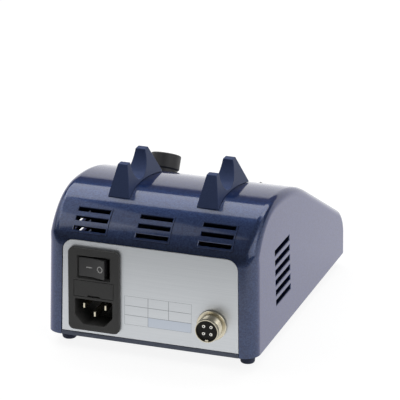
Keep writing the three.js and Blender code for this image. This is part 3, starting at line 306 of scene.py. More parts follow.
def plain_metal(name, tones, cloud, roughness):
    """A metal whose tone and gloss vary in clouds of the given size in millimetres."""
    gloss = (roughness - GLOSS_SPREAD, roughness + GLOSS_SPREAD)
    return grained(name, tones, cloud, CLOUD_DETAIL, {"Metallic": 1.0, "Roughness": gloss})


# Bright and faintly warm
NICKEL = plain_metal("nickel_plated_brass", ("#bfb8a3", "#d6cfbc"), 3.0, 0.3)
# The brightest of them, a clean white shine
CONTACT_SILVER = plain_metal("silver_plated_brass", ("#d8d6d0", "#efeee9"), 1.0, 0.25)
# Duller and bluer than nickel
ZINC_STEEL = plain_metal("zinc_plated_steel", ("#9a9fa6", "#b9bdc2"), 1.5, 0.36)
# Silky grey
RAW_ALUMINIUM = plain_metal("extruded_aluminium", ("#9ea3a7", "#b8bcbf"), 2.5, 0.42)
print("metals", NICKEL.name, CONTACT_SILVER.name, ZINC_STEEL.name, RAW_ALUMINIUM.name)

# %% [markdown]
# ## Stacked sheets and wound tape
# The transformer shows only through the slots, and with the base off. Its core is a stack of
# silicon steel sheets, dark and striped where the edges lie side by side. The sheets are half a
# millimetre thick, drawn at 1.2 mm so that they still show. The winding is wrapped in glossy
# yellow polyester tape. Even bands across one axis, in tone and in relief, serve for both.

# %% Banded finishes
SHEET_STEP, TAPE_STEP = 1.2, 9.0
BAND_RELIEF = (0.4, 0.05)


def banded(name, axis, step, tones, metallic, roughness):
    """Even bands across one axis, as on stacked sheets or wrapped tape."""
    material, tree, place = blank_material(name)
    bands = add(
        tree,
        "ShaderNodeTexWave",
        {"Vector": place, "Scale": per(step) / math.tau, "Distortion": 0.4, "Detail": 1.0},
        wave_type="BANDS",
        bands_direction=axis,
        wave_profile="SIN",
    )
    gloss = {"Metallic": metallic, "Roughness": roughness}
    return close_material(material, bands.outputs["Fac"], tones, gloss, BAND_RELIEF)


CORE_SHEETS = banded("silicon_steel_sheets", "Y", SHEET_STEP, ("#33363a", "#6c7075"), 0.8, 0.45)
COIL_TAPE = banded("polyester_winding_tape", "Z", TAPE_STEP, ("#a8791c", "#cf9f35"), 0.0, 0.35)
print("bands", CORE_SHEETS.name, COIL_TAPE.name)

# %% [markdown]
# ## Board, glass, sleeve and inks
# The board has green solder mask with paler tracks, for which cells with straight sides do. The
# fuse is a glass tube and the lamp red polycarbonate, both clear with a trace of streaks. Shrunk
# sleeve on the capacitors is smooth and dark. The marks and the dial are opaque white ink, and
# the table on the plate is ink so thin that the metal still glints through it.

# %% Board, glass, sleeve and inks
TRACK_STEP, STREAK_SIZE, STREAK_DETAIL, GLASS_IOR = 2.2, 1.5, 2.0, 1.5


def soldermask_board():
    material, tree, place = blank_material("soldermask_board")
    tracks = add(
        tree,
        "ShaderNodeTexVoronoi",
        {"Vector": place, "Scale": per(TRACK_STEP)},
        distance="MANHATTAN",
        feature="F1",
    )
    rim = add(
        tree,
        "ShaderNodeMapRange",
        {"Value": tracks.outputs["Distance"], "From Min": 0.35, "From Max": 0.5},
    )
    mask = {"Roughness": 0.35}
    return close_material(material, rim.outputs["Result"], ("#1f4a2c", "#37704a"), mask)


def clear_glass(name, tones, roughness, share):
    """Glass or clear plastic, tinted through its mass; the share says how clear it is."""
    glass = {"Roughness": roughness, "Transmission Weight": share, "IOR": GLASS_IOR}
    return grained(name, tones, STREAK_SIZE, STREAK_DETAIL, glass)


# Green, its tracks a little paler
BOARD = soldermask_board()
# Clear, with just enough streaks to be seen as a tube
FUSE_GLASS = clear_glass("fuse_glass", ("#dfe6e6", "#f2f5f5"), 0.05, 0.8)
# Deep red that is lighter where light passes through it
LAMP_RED = clear_glass("red_polycarbonate", ("#7d0e10", "#b3191b"), 0.1, 0.35)
# Smooth and dark
SLEEVE = moulded_plastic("shrunk_pvc_sleeve", ("#1b2030", "#252c40"), 1.2, 0.01, 0.3)
# Opaque white with a dull face
WHITE_PRINT = moulded_plastic("white_pad_print", ("#dcdcda", "#f0f0ee"), 0.4, 0.005, 0.5)
# Two thin inks, grey lines and a pale field
GREY_PRINT = plain_metal("grey_ink_on_metal", ("#83878c", "#95999e"), 0.4, 0.45)
PALE_PRINT = plain_metal("pale_blue_ink_on_metal", ("#b9c0cb", "#c5ccd6"), 0.8, 0.45)
print("small finishes", BOARD.name, FUSE_GLASS.name, LAMP_RED.name, SLEEVE.name)

# %% [markdown]
# ## From drawing to piece
# A piece is drawn in millimetres in the frame that suits it: the housing's, with its origin at the
# foot of the rear wall, or the rear plate's as seen by someone behind the box. The last step puts
# the place into the mesh, so that the object itself stays at the origin. Holes are cut with
# booleans, because a real hole is cut or moulded in the same way: one plain body less another.

# %% Frames, drawings and cuts
shell_low, shell_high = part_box("housing_shell")
HOUSING = Matrix.Translation(Vector((0, shell_high.y, shell_low.z)) / MM)
REAR = HOUSING @ Matrix(((-1, 0, 0, 0), (0, 0, 1, 0), (0, 1, 0, 0), (0, 0, 0, 1)))
MERGE = 1e-4


def everything(bm):
    return bm.verts[:] + bm.edges[:] + bm.faces[:]


def to_object(name, bm, place):
    """Turns a drawing into an object in metres and closes the drawing."""
    bmesh.ops.transform(bm, matrix=Matrix.Scale(MM, 4) @ place, verts=bm.verts)
    mesh = bpy.data.meshes.new(name)
    bm.to_mesh(mesh)
    bm.free()
    obj = bpy.data.objects.new(name, mesh)
    bpy.context.scene.collection.objects.link(obj)
    return obj


def carve(blank, *tools, operation="DIFFERENCE"):
    """Cuts the tools out of the blank, or joins them to it, and removes them."""
    for tool in tools:
        step = blank.modifiers.new(tool.name, "BOOLEAN")
        step.operation = operation
        step.solver = "EXACT"
        step.object = tool
    bpy.context.view_layer.update()
    whole = blank.evaluated_get(bpy.context.evaluated_depsgraph_get())
    blank.data = bpy.data.meshes.new_from_object(whole)
    blank.modifiers.clear()
    for tool in tools:
        bpy.data.objects.remove(tool)
    return blank


print("rear wall's foot at", tuple(round(c, 2) for c in HOUSING.translation), "mm")

# %% [markdown]
# ### Edges and shading
# No moulded or punched edge is truly sharp, and the small rounding is what catches the light. It
# is either cut into the mesh, where a later cut has to stay sharp, or left to a Bevel modifier.
# The faces are then smoothed with normals weighted by area, so that flat faces stay flat to the
# eye. Last, the piece gets its finish, its CAD body and the nodes it stands for.

# %% Edges and shading
SHARP_ANGLE = math.radians(32)
EDGE_SEGMENTS = 2


def round_edges(piece, radius, segments):
    """Rounds every sharp edge for good, so that later cuts stay sharp."""
    bm = bmesh.new()
    bm.from_mesh(piece.data)
    bmesh.ops.remove_doubles(bm, verts=bm.verts, dist=MERGE * MM)
    sharp = [e for e in bm.edges if e.is_manifold and e.calc_face_angle() > SHARP_ANGLE]
    bmesh.ops.bevel(
        bm,
        geom=sharp,
        affect="EDGES",
        offset=radius * MM,
        segments=segments,
        profile=0.5,
        material=-1,
        clamp_overlap=True,
    )
    bm.to_mesh(piece.data)
    bm.free()


def finish_piece(piece, material, slot, *nodes, body="case", edge=0.0):
    """Rounds the edges by edge millimetres, or keeps them sharp, and smooths the rest."""
    bm = bmesh.new()
    bm.from_mesh(piece.data)
    bmesh.ops.remove_doubles(bm, verts=bm.verts, dist=MERGE * MM)
    bmesh.ops.dissolve_degenerate(bm, dist=MERGE * MM, edges=bm.edges)
    for face in bm.faces:
        face.smooth = True
        face.material_index = 0
    for seam in bm.edges:
        seam.smooth = edge > 0 or not seam.is_manifold or seam.calc_face_angle() < SHARP_ANGLE
    bm.to_mesh(piece.data)
    bm.free()
    piece.data.materials.clear()
    piece.data.materials.append(material)
    if edge:
        rounding = piece.modifiers.new("rounded edges", "BEVEL")
        rounding.width = edge * MM
        rounding.segments = EDGE_SEGMENTS
        rounding.limit_method = "ANGLE"
        rounding.angle_limit = SHARP_ANGLE
    shading = piece.modifiers.new("even shading", "WEIGHTED_NORMAL")
    shading.keep_sharp = True
    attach(piece, body)
    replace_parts(piece, *nodes)
    print("piece", piece.name, len(piece.data.polygons), "faces")


print("edges sharper than", round(math.degrees(SHARP_ANGLE)), "degrees are rounded")

# %% [markdown]
# ## Housing outline
# The shell is one moulding. Its side outline starts up the rear wall, bends over a knee, a
# shoulder and a crown without a kink, runs down the slope and ends in a rounded nose. It could be
# drawn as a curve, but the body needs to know which way the outline heads at every point. So a
# chain of vertices is walked along it with extrude and spin, and every vertex keeps its heading.

# %% Housing outline
HOUSING_WIDTH = 137.0
REAR_WALL_HEIGHT = 59.0
KNEE_RADIUS, KNEE_TURN = 14.8, math.radians(35)
SHOULDER_RADIUS, SHOULDER_TURN = 49.5, math.radians(55)
CROWN_RADIUS, SLOPE = 153.0, math.radians(27.6)
NOSE_HEIGHT, NOSE_RADIUS = 27.0, 22.0
STEP_TURN = math.radians(1.5)
UPRIGHT = math.pi / 2


def out_of(heading):
    """The outline's outward direction, for a heading that turns from upwards to forwards."""
    return Vector((0, math.sin(heading), math.cos(heading)))


def walk_outline(bm, below=0.0):
    """Draws the outline and returns where it enters the slope."""
    heading_layer = bm.verts.layers.float.new("heading")
    base_layer = bm.verts.layers.float_vector.new("base")
    heading = UPRIGHT
    tip = bm.verts.new((0, 0, -below))
    tip[heading_layer], tip[base_layer] = heading, tip.co

    def straight(length):
        nonlocal tip
        (tip,) = bmesh.ops.extrude_vert_indiv(bm, verts=[tip])["verts"]
        tip.co += Vector((0, -math.cos(heading), math.sin(heading))) * length
        tip[heading_layer], tip[base_layer] = heading, tip.co

    def bend(radius, turn):
        nonlocal tip, heading
        steps = math.ceil(turn / STEP_TURN)
        centre = tip.co - out_of(heading) * radius
        bmesh.ops.spin(
            bm, geom=[tip], cent=centre, axis=(1, 0, 0), angle=turn, steps=steps, use_merge=False
        )
        bm.verts.ensure_lookup_table()
        for i, vert in enumerate(bm.verts[-steps:], 1):
            vert[heading_layer], vert[base_layer] = heading - turn * i / steps, vert.co
        tip = bm.verts[-1]
        heading -= turn

    straight(REAR_WALL_HEIGHT + below)
    bend(KNEE_RADIUS, KNEE_TURN)
    bend(SHOULDER_RADIUS, SHOULDER_TURN)
    bend(CROWN_RADIUS, SLOPE)
    slope_start = tip.co.copy()
    nose_turn = UPRIGHT - SLOPE
    nose_tangent = NOSE_RADIUS * math.tan(nose_turn / 2)
    straight((slope_start.z - NOSE_HEIGHT) / math.sin(SLOPE) - nose_tangent)
    bend(NOSE_RADIUS, nose_turn)
    straight(tip.co.z + below)
    return slope_start


sketch = bmesh.new()
slope_start = walk_outline(sketch)
housing_length = -min(v.co.y for v in sketch.verts)
crown_height = max(v.co.z for v in sketch.verts)
sketch.free()
SLOPE_FRAME = HOUSING @ Matrix.Translation(slope_start) @ Matrix.Rotation(SLOPE, 4, "X")
print("housing", round(housing_length, 2), "long,", round(crown_height, 2), "high")

# %% [markdown]
# ## Housing body
# The chain is extruded sideways, and then round the corner in small steps: the corner is wide at
# the rear wall and narrow on top, so no plain bevel would do. Both side walls lean in by a degree,
# as a mould needs to let its part go. Half a body is made and mirrored. Drawn again with an inset,
# the same body is the cavity, and drawn larger it is what seats other pieces on the skin.

# %% Housing body
REAR_CORNER, TOP_CORNER = 10.2, 5.3
CORNER_BLEND = math.radians(75)
CORNER_STEPS = 10
DRAFT = math.tan(math.radians(1.1))


def corner_radius(heading):
    """The corner's radius, which eases from the rear's to the top's."""
    share = min(max((UPRIGHT - heading) / CORNER_BLEND, 0), 1)
    return REAR_CORNER + (TOP_CORNER - REAR_CORNER) * share * share * (3 - 2 * share)


def corner_point(base, heading, inset, turn):
    """A point of the rounded edge, turned from 0 on the side wall to 90 degrees on top."""
    radius = corner_radius(heading)
    centre = base - out_of(heading) * radius
    point = centre + out_of(heading) * (radius - inset) * math.sin(turn)
    flank = HOUSING_WIDTH / 2 - DRAFT * centre.z - radius
    point.x = flank + (radius - inset) * math.cos(turn)
    return point


def close_up(bm):
    """Fills what is open and turns every face outwards."""
    bmesh.ops.holes_fill(bm, edges=[edge for edge in bm.edges if edge.is_boundary])
    bmesh.ops.recalc_face_normals(bm, faces=bm.faces)


def housing_body(inset=0.0, below=0.0):
    """The whole housing as a closed drawing, inset by a wall or grown by a negative one."""
    bm = bmesh.new()
    walk_outline(bm, below)
    heading_layer = bm.verts.layers.float["heading"]
    base_layer = bm.verts.layers.float_vector["base"]
    for vert in bm.verts:
        vert.co -= out_of(vert[heading_layer]) * inset
    ring = bm.edges[:]
    for i in range(CORNER_STEPS + 1):
        turn = UPRIGHT * (1 - i / CORNER_STEPS)
        made = bmesh.ops.extrude_edge_only(bm, edges=ring)["geom"]
        fresh = {part for part in made if isinstance(part, bmesh.types.BMVert)}
        for vert in fresh:
            base = Vector(vert[base_layer])
            vert.co = corner_point(base, vert[heading_layer], inset, turn)
        ring = [edge for edge in bm.edges if fresh.issuperset(edge.verts)]
    ends = [vert for vert in fresh if sum(edge in ring for edge in vert.link_edges) == 1]
    closing = bmesh.ops.contextual_create(bm, geom=ends)["edges"]
    bmesh.ops.contextual_create(bm, geom=ring + closing)
    bmesh.ops.mirror(bm, geom=everything(bm), axis="X", merge_dist=MERGE)
    close_up(bm)
    return bm


skin = housing_body()
print("skin", len(skin.faces), "faces, closed", all(edge.is_manifold for edge in skin.edges))
skin.free()

# %% [markdown]
# ## Vents
# A mould leaves every slot with a small flare at the skin, and that bright rim is what makes a
# vent read as a moulded one. Each cutting tool is a block whose outer end widens by the flare just
# where it passes the skin. The rear vents all lie on the arc of the shoulder and are cut square to
# it at the place where they sit. The side vents run straight through both walls.

# %% Places and sizes of the vents
FLARE, OVERRUN = 0.35, 2.0
VENT_DEPTH = 7.0
REAR_VENT_WIDTH, REAR_VENT_HEIGHT = 20.8, 2.75
REAR_VENT_COLUMNS = (-40.4, 0.0, 40.4)
REAR_VENT_START, REAR_VENT_ROWS, REAR_VENT_ROW_PITCH = 11.9, 3, 6.35
SIDE_VENT_LENGTH, SIDE_VENT_HEIGHT = 30.4, 3.6
SIDE_VENT_ROWS, SIDE_VENT_PITCH = 6, 6.73
SIDE_VENT_FROM_REAR, SIDE_VENT_TOP, SIDE_VENT_STAGGER = 40.2, 54.9, 0.56
PAD_HEIGHT = 0.6


def shoulder_place(walked):
    """The frame on the shoulder at a length from the top of the rear wall, z out of it."""
    turned_by = KNEE_TURN + (walked - KNEE_RADIUS * KNEE_TURN) / SHOULDER_RADIUS
    centre = Vector((0, -KNEE_RADIUS, REAR_WALL_HEIGHT))
    centre -= out_of(UPRIGHT - KNEE_TURN) * (SHOULDER_RADIUS - KNEE_RADIUS)
    at = centre + out_of(UPRIGHT - turned_by) * SHOULDER_RADIUS
    return Matrix.Translation(at) @ Matrix.Rotation(turned_by - UPRIGHT, 4, "X")


print("first rear vent at", shoulder_place(REAR_VENT_START).translation.to_tuple(1))

# %% [markdown]
# ### Cutting tools of the vents
# The slot's block starts as a cube. Raising its top face twice, first with a spread and then
# without, gives the flare and the end that stands clear of the skin. All tools form one mesh, so
# that a single cut opens every vent.


# %% Cutting tools of the vents
def add_box(bm, size, middle):
    """Adds a block, given by its size and its middle."""
    made = bmesh.ops.create_cube(bm, size=1)["verts"]
    bmesh.ops.scale(bm, vec=size, verts=made)
    bmesh.ops.translate(bm, vec=middle, verts=made)
    return made


def raise_face(bm, face, rise, spread):
    """Extrudes an upper face by a height, scales it sideways and returns the new one."""
    made = bmesh.ops.extrude_face_region(bm, geom=[face])["geom"]
    bmesh.ops.delete(bm, geom=[face], context="FACES_KEEP_BOUNDARY")
    (raised,) = [part for part in made if isinstance(part, bmesh.types.BMFace)]
    bmesh.ops.translate(bm, vec=(0, 0, rise), verts=raised.verts)
    bmesh.ops.scale(bm, vec=spread, verts=raised.verts)
    return raised


def add_slot(bm, width, height, place):
    """A block sunk from z = 0, its mouth widened by the flare."""
    size, middle = (width, height, VENT_DEPTH - FLARE), (0, 0, -(VENT_DEPTH + FLARE) / 2)
    made = add_box(bm, size, middle)
    sides = {face for vert in made for face in vert.link_faces}
    top = max(sides, key=lambda face: face.calc_center_median().z)
    for grow, rise in ((2 * FLARE, 2 * FLARE), (0, OVERRUN)):
        spread = ((width + 2 * grow) / width, (height + 2 * grow) / height, 1)
        top = raise_face(bm, top, rise, spread)
        made += top.verts[:]
    bmesh.ops.transform(bm, matrix=place, verts=made)


def vent_tools():
    bm = bmesh.new()
    for row in range(REAR_VENT_ROWS):
        place = shoulder_place(REAR_VENT_START + row * REAR_VENT_ROW_PITCH)
        for across in REAR_VENT_COLUMNS:
            at = place @ Matrix.Translation((across, 0, PAD_HEIGHT))
            add_slot(bm, REAR_VENT_WIDTH, REAR_VENT_HEIGHT, at)
    lengthwise = Matrix.Rotation(UPRIGHT, 4, "Z")
    for row in range(SIDE_VENT_ROWS):
        height = SIDE_VENT_TOP - row * SIDE_VENT_PITCH
        middle = SIDE_VENT_FROM_REAR + row * SIDE_VENT_STAGGER + SIDE_VENT_LENGTH / 2
        skin_x = HOUSING_WIDTH / 2 - DRAFT * height
        for side in (-1, 1):
            at = Matrix.Translation((side * skin_x, -middle, height))
            lean = Matrix.Rotation(side * (UPRIGHT - math.atan(DRAFT)), 4, "Y")
            add_slot(bm, SIDE_VENT_LENGTH, SIDE_VENT_HEIGHT, at @ lean @ lengthwise)
    return to_object("vent_tools", bm, HOUSING)


vents = vent_tools()
print("vent tools", len(vents.data.polygons), "faces")

# %% [markdown]
# ### Vent pads
# The three rear vents of a block share one low pad with softened edges. The pad has to follow the
# curved skin, so a block is cut down to the housing's own body, grown by the pad's height. It
# starts 2 mm deep, because the skin curves away under its ends.

# %% Vent pads
PAD_SIDE, PAD_END, PAD_EDGE = 1.1, 1.6, 0.6
PAD_LOW, PAD_HIGH = -2.0, 1.5


def vent_pads():
    bm = bmesh.new()
    rows = (REAR_VENT_ROWS - 1) * REAR_VENT_ROW_PITCH
    width = REAR_VENT_WIDTH + 2 * PAD_SIDE
    height = rows + REAR_VENT_HEIGHT + 2 * PAD_END
    place = shoulder_place(REAR_VENT_START + rows / 2)
    for across in REAR_VENT_COLUMNS:
        middle = (across, 0, (PAD_HIGH + PAD_LOW) / 2)
        made = add_box(bm, (width, height, PAD_HIGH - PAD_LOW), middle)
        bmesh.ops.transform(bm, matrix=place, verts=made)
    pads = to_object("vent_pads", bm, HOUSING)
    grown = to_object("grown_body", housing_body(-PAD_HEIGHT), HOUSING)
    carve(pads, grown, operation="INTERSECT")
    round_edges(pads, PAD_EDGE, segments=1)
    return pads


pads = vent_pads()
print("vent pads", len(pads.data.polygons), "faces")

# %% [markdown]
# ## Plate outline
# The rear plate lies in a rebate whose sides lean with the housing's and whose upper corners are
# round. Its outline starts as four corners: a vertex bevel rounds the two upper ones, and an
# extrusion makes it a block. The rebate and the plate share this outline, so they always fit.

# %% Plate outline
PLATE_MARGIN, PLATE_TOP, PLATE_CORNER = 10.9, 63.3, 7.0
PLATE_THICKNESS, PLATE_RECESS, PLATE_LEDGE = 1.5, 0.4, 3.0
PLATE_CORNER_STEPS, BLOCK_CORNER_STEPS = 12, 8
FIT_GAP, BASE_THICKNESS = 0.3, 2.5


def flat_face(bm, corners):
    verts = [bm.verts.new(corner) for corner in corners]
    bmesh.ops.contextual_create(bm, geom=verts)
    return verts


def extrude(bm, by):
    """Draws the flat faces of a drawing out into closed bodies."""
    made = bmesh.ops.extrude_face_region(bm, geom=bm.faces[:])["geom"]
    moved = [part for part in made if isinstance(part, bmesh.types.BMVert)]
    bmesh.ops.translate(bm, vec=by, verts=moved)
    bmesh.ops.recalc_face_normals(bm, faces=bm.faces)


def outline_block(corners, low, high, rounded=0.0, steps=BLOCK_CORNER_STEPS, first=0):
    """A block over a flat outline. Its corners are rounded if asked, from the first on."""
    bm = bmesh.new()
    verts = flat_face(bm, [(x, y, low) for x, y in corners])
    if rounded:
        bmesh.ops.bevel(
            bm,
            geom=verts[first:],
            affect="VERTICES",
            offset=rounded,
            segments=steps,
            profile=0.5,
            material=-1,
        )
    extrude(bm, (0, 0, high - low))
    return bm


def plate_block(grow, bottom, low, high):
    """The plate's outline, grown, from z = low to z = high in the rear frame."""
    top = PLATE_TOP + grow
    foot, head = (HOUSING_WIDTH / 2 - PLATE_MARGIN - DRAFT * y + grow for y in (bottom, top))
    corners = [(-foot, bottom), (foot, bottom), (head, top), (-head, top)]
    return outline_block(corners, low, high, PLATE_CORNER + grow, PLATE_CORNER_STEPS, first=2)


outline = plate_block(0, BASE_THICKNESS + FIT_GAP, 0, PLATE_THICKNESS)
print("plate outline", len(outline.verts) // 2, "points")
outline.free()

# %% [markdown]
# ## Openings
# The wall behind the plate is open but for a ledge that the plate rests on, and below it a slot
# takes the base's tongue. The slope has round holes for the knob, the lamp and the handpiece's
# socket, and square ones for the switches. Plain blocks and rods cut them all, and each is given
# by its middle and by the two heights it reaches.

# %% Openings
WALL, REAR_WALL = 2.5, 4.2
KNOB_AT, KNOB_HOLE = (37.5, -18.6), 3.9
SWITCHES_AT, SWITCH_HOLE = ((-2.0, -20.0), (-36.0, -20.0)), (19.6, 13.4)
LAMP_AT, LAMP_HOLE = (-2.0, -47.0), 4.2
HANDPIECE_AT, HANDPIECE_HOLE = (-36.0, -56.0), 8.5
THROUGH_WALL = (-2 * WALL, OVERRUN)
ROUND_STEPS = 64


def box_tool(name, size, heights, place, at=(0, 0)):
    """A plain block for cutting or joining."""
    bm = bmesh.new()
    low, high = heights
    add_box(bm, (*size, high - low), (*at, (low + high) / 2))
    return to_object(name, bm, place)


def rod_tool(name, radius, heights, place, at=(0, 0), steps=ROUND_STEPS):
    """A plain round rod, given in the same way."""
    bm = bmesh.new()
    low, high = heights
    bmesh.ops.create_cone(
        bm, cap_ends=True, segments=steps, radius1=radius, radius2=radius, depth=high - low
    )
    bmesh.ops.translate(bm, vec=(*at, (low + high) / 2), verts=bm.verts)
    return to_object(name, bm, place)


def openings():
    low, pocket = -OVERRUN, PLATE_RECESS + PLATE_THICKNESS + FIT_GAP
    rebate = plate_block(FIT_GAP, low, -pocket, OVERRUN)
    window = plate_block(-PLATE_LEDGE, low, -REAR_WALL - OVERRUN, OVERRUN)
    slot_top = BASE_THICKNESS + FIT_GAP
    slot = (HOUSING_WIDTH - 2 * PLATE_MARGIN + 2 * FIT_GAP, OVERRUN + slot_top)
    reach = (-REAR_WALL - FIT_GAP, OVERRUN)
    return [
        to_object("rebate", rebate, REAR),
        to_object("window", window, REAR),
        box_tool("tongue_slot", slot, reach, REAR, (0, (slot_top - OVERRUN) / 2)),
        rod_tool("knob_hole", KNOB_HOLE, THROUGH_WALL, SLOPE_FRAME, KNOB_AT),
        rod_tool("lamp_hole", LAMP_HOLE, THROUGH_WALL, SLOPE_FRAME, LAMP_AT),
        rod_tool("socket_hole", HANDPIECE_HOLE, THROUGH_WALL, SLOPE_FRAME, HANDPIECE_AT),
        *[box_tool("hole", SWITCH_HOLE, THROUGH_WALL, SLOPE_FRAME, at) for at in SWITCHES_AT],
    ]


cutters = openings()
print("openings", [tool.name for tool in cutters])

# %% [markdown]
# ## Housing shell
# The moulding is the body less its cavity. The cavity is cut off flat at the rear, which leaves a
# thick wall there for the plate's rebate. The pads are joined on before the vents are cut, so
# each vent passes through its pad and keeps its flare at the outer face.


# %% Housing shell
def cavity():
    bm = housing_body(WALL, OVERRUN)
    rear_plane = {"plane_co": (0, -REAR_WALL, 0), "plane_no": (0, 1, 0), "clear_outer": True}
    bmesh.ops.bisect_plane(bm, geom=everything(bm), **rear_plane)
    close_up(bm)
    return to_object("cavity", bm, HOUSING)


shell = carve(to_object("housing", housing_body(), HOUSING), cavity())
carve(shell, pads, operation="UNION")
carve(shell, vents, *cutters)
finish_piece(shell, NAVY, "navy_plastic", "housing_shell")

# %% [markdown]
# ## Rear plate
# The plate is punched from sheet, so its outline is drawn once and pierced for the inlet and for
# the socket. A small rounding of every edge catches the light as a thin bright line.

# %% Rear plate
INLET_AT, INLET_OPENING = (-35.6, 32.2), (27.6, 48.2)
OUTPUT_AT, BARREL_RADIUS = (40.5, 19.5), 7.6
PLATE_EDGE = 0.2


def rear_plate():
    low, high = -PLATE_RECESS - PLATE_THICKNESS, -PLATE_RECESS
    blank = to_object("plate", plate_block(0, BASE_THICKNESS + FIT_GAP, low, high), REAR)
    reach = (low - OVERRUN, high + OVERRUN)
    return carve(
        blank,
        box_tool("inlet_hole", INLET_OPENING, reach, REAR, INLET_AT),
        rod_tool("output_hole", BARREL_RADIUS + FIT_GAP, reach, REAR, OUTPUT_AT),
    )


finish_piece(rear_plate(), PLATE, "plate_aluminium", "rear_plate", edge=PLATE_EDGE)

# %% [markdown]
# ### Rating table
# Such plates carry a screen-printed table of ratings. Here it stays an empty grid: a rectangle is
# cut into rows and columns, two cells are merged into the pale field at the bottom, and an inset of
# every cell leaves the lines between them. The ink is drawn 0.03 mm thick, so it is a closed body.

# %% Rating table
TABLE_COLUMNS = (-16.2, -0.9, 12.4, 27.2)
TABLE_ROWS = (12.2, 18.5, 24.75, 31.0)
TABLE_LINE, INK = 0.28, 0.03
PLATE_FACE = REAR @ Matrix.Translation((0, 0, -PLATE_RECESS))


def table_cells():
    """The table's outline, cut into its cells, with the last two of the bottom row merged."""
    bm = bmesh.new()
    (left, *across, right), (low, *up, high) = TABLE_COLUMNS, TABLE_ROWS
    flat_face(bm, [(left, low, 0), (right, low, 0), (right, high, 0), (left, high, 0)])
    cuts = [((x, 0, 0), (1, 0, 0)) for x in across] + [((0, y, 0), (0, 1, 0)) for y in up]
    for at, normal in cuts:
        bmesh.ops.bisect_plane(bm, geom=everything(bm), plane_co=at, plane_no=normal)
    merged = [
        edge
        for edge in bm.edges
        if all(abs(v.co.x - across[1]) < MERGE and v.co.y < up[0] + MERGE for v in edge.verts)
    ]
    bmesh.ops.dissolve_edges(bm, edges=merged, use_verts=True)
    return bm


def table_lines():
    bm = table_cells()
    cells = bm.faces[:]
    bmesh.ops.inset_individual(bm, faces=cells, thickness=TABLE_LINE / 2, use_even_offset=True)
    bmesh.ops.delete(bm, geom=cells, context="FACES_ONLY")
    extrude(bm, (0, 0, INK))
    return to_object("rating_table_lines", bm, PLATE_FACE)


def pale_field():
    bm = table_cells()
    bottom_row = [face for face in bm.faces if face.calc_center_median().y < TABLE_ROWS[1]]
    field = max(bottom_row, key=lambda face: face.calc_area())
    bmesh.ops.delete(bm, geom=[f for f in bm.faces if f is not field], context="FACES")
    bmesh.ops.inset_individual(bm, faces=[field], thickness=TABLE_LINE / 2)
    bmesh.ops.delete(bm, geom=[f for f in bm.faces if f is not field], context="FACES")
    extrude(bm, (0, 0, INK / 2))
    return to_object("rating_table_field", bm, PLATE_FACE)


finish_piece(table_lines(), GREY_PRINT, "plate_aluminium")
finish_piece(pale_field(), PALE_PRINT, "plate_aluminium")

# %% [markdown]
# ## Handpiece rests
# Each rest is a moulded wedge: wide at the crown, narrow at the tips of its two prongs, with a
# round notch between them. Its side outline becomes a block, a bisect at the height where the
# taper starts gives the sides their fold, and scaling the tips across makes the wedge.

# %% Blank of a rest
REST_BASE_WIDTH, REST_TOP_WIDTH = 14.6, 6.4
REST_RISE, REST_TAPER_DEPTH, REST_ROOT_DEPTH = 15.8, 20.2, 31.2
NOTCH_FROM_REAR, NOTCH_BELOW_TOP, REST_WEB = 50.0, 1.0, 1.5
REAR_PRONG, FRONT_PRONG = 5.0, 5.6
REAR_SPREAD, FRONT_SPREAD = 7.7, 15.2
REST_TOP = crown_height + REST_RISE
NOTCH_RADIUS = REST_RISE - NOTCH_BELOW_TOP - REST_WEB


def rest_blank():
    taper, root = REST_TOP - REST_TAPER_DEPTH, REST_TOP - REST_ROOT_DEPTH
    rear_tip = NOTCH_FROM_REAR - NOTCH_RADIUS - REAR_PRONG
    front_tip = NOTCH_FROM_REAR + NOTCH_RADIUS + FRONT_PRONG
    rear, front = rear_tip - REAR_SPREAD, front_tip + FRONT_SPREAD
    outline = [(rear, root), (rear, taper), (rear_tip, REST_TOP)]
    outline += [(front_tip, REST_TOP), (front, taper), (front, root)]
    bm = bmesh.new()
    flat_face(bm, [(-REST_BASE_WIDTH / 2, -y, z) for y, z in outline])
    extrude(bm, (REST_BASE_WIDTH, 0, 0))
    bmesh.ops.bisect_plane(bm, geom=everything(bm), plane_co=(0, 0, taper), plane_no=(0, 0, 1))
    tips = [vert for vert in bm.verts if vert.co.z > REST_TOP - MERGE]
    bmesh.ops.scale(bm, vec=(REST_TOP_WIDTH / REST_BASE_WIDTH, 1, 1), verts=tips)
    bmesh.ops.recalc_face_normals(bm, faces=bm.faces)
    return bm


print("rest tips at", round(REST_TOP, 2), "mm, notch radius", round(NOTCH_RADIUS, 2))

# %% [markdown]
# ### Notch and foot of the rests
# The notch is bored, the edges are rounded, and only then the foot is cut to the crown, so that
# the rounding doesn't reach the joint. The cutting body is the housing itself, grown by the gap.

# %% Handpiece rests
REST_ACROSS = 28.8
REST_EDGE, REST_EDGE_STEPS = 0.45, 3
SIDEWAYS = Matrix.Rotation(UPRIGHT, 4, "Y")


def handpiece_rest(name, across):
    place = HOUSING @ Matrix.Translation((across, 0, 0))
    bore = place @ Matrix.Translation((0, -NOTCH_FROM_REAR, REST_TOP - NOTCH_BELOW_TOP))
    reach = (-REST_BASE_WIDTH, REST_BASE_WIDTH)
    rest = to_object(name, rest_blank(), place)
    carve(rest, rod_tool("notch", NOTCH_RADIUS, reach, bore @ SIDEWAYS))
    round_edges(rest, REST_EDGE, REST_EDGE_STEPS)
    return carve(rest, to_object("seat", housing_body(-FIT_GAP), HOUSING))


for side, across in (("left", -REST_ACROSS), ("right", REST_ACROSS)):
    rest = handpiece_rest(f"handpiece_rest_{side}", across)
    finish_piece(rest, REST_ABS, "navy_plastic", f"rest_{side}")

# %% [markdown]
# ## Mains inlet
# The inlet is one deep moulding behind a flange, with three hollows: the rocker's well, the pocket
# of the fuse drawer, and the recess whose two lower corners are cut off so that the plug goes in
# one way only. The body is a flange and a block joined, and each hollow is a block cut out.

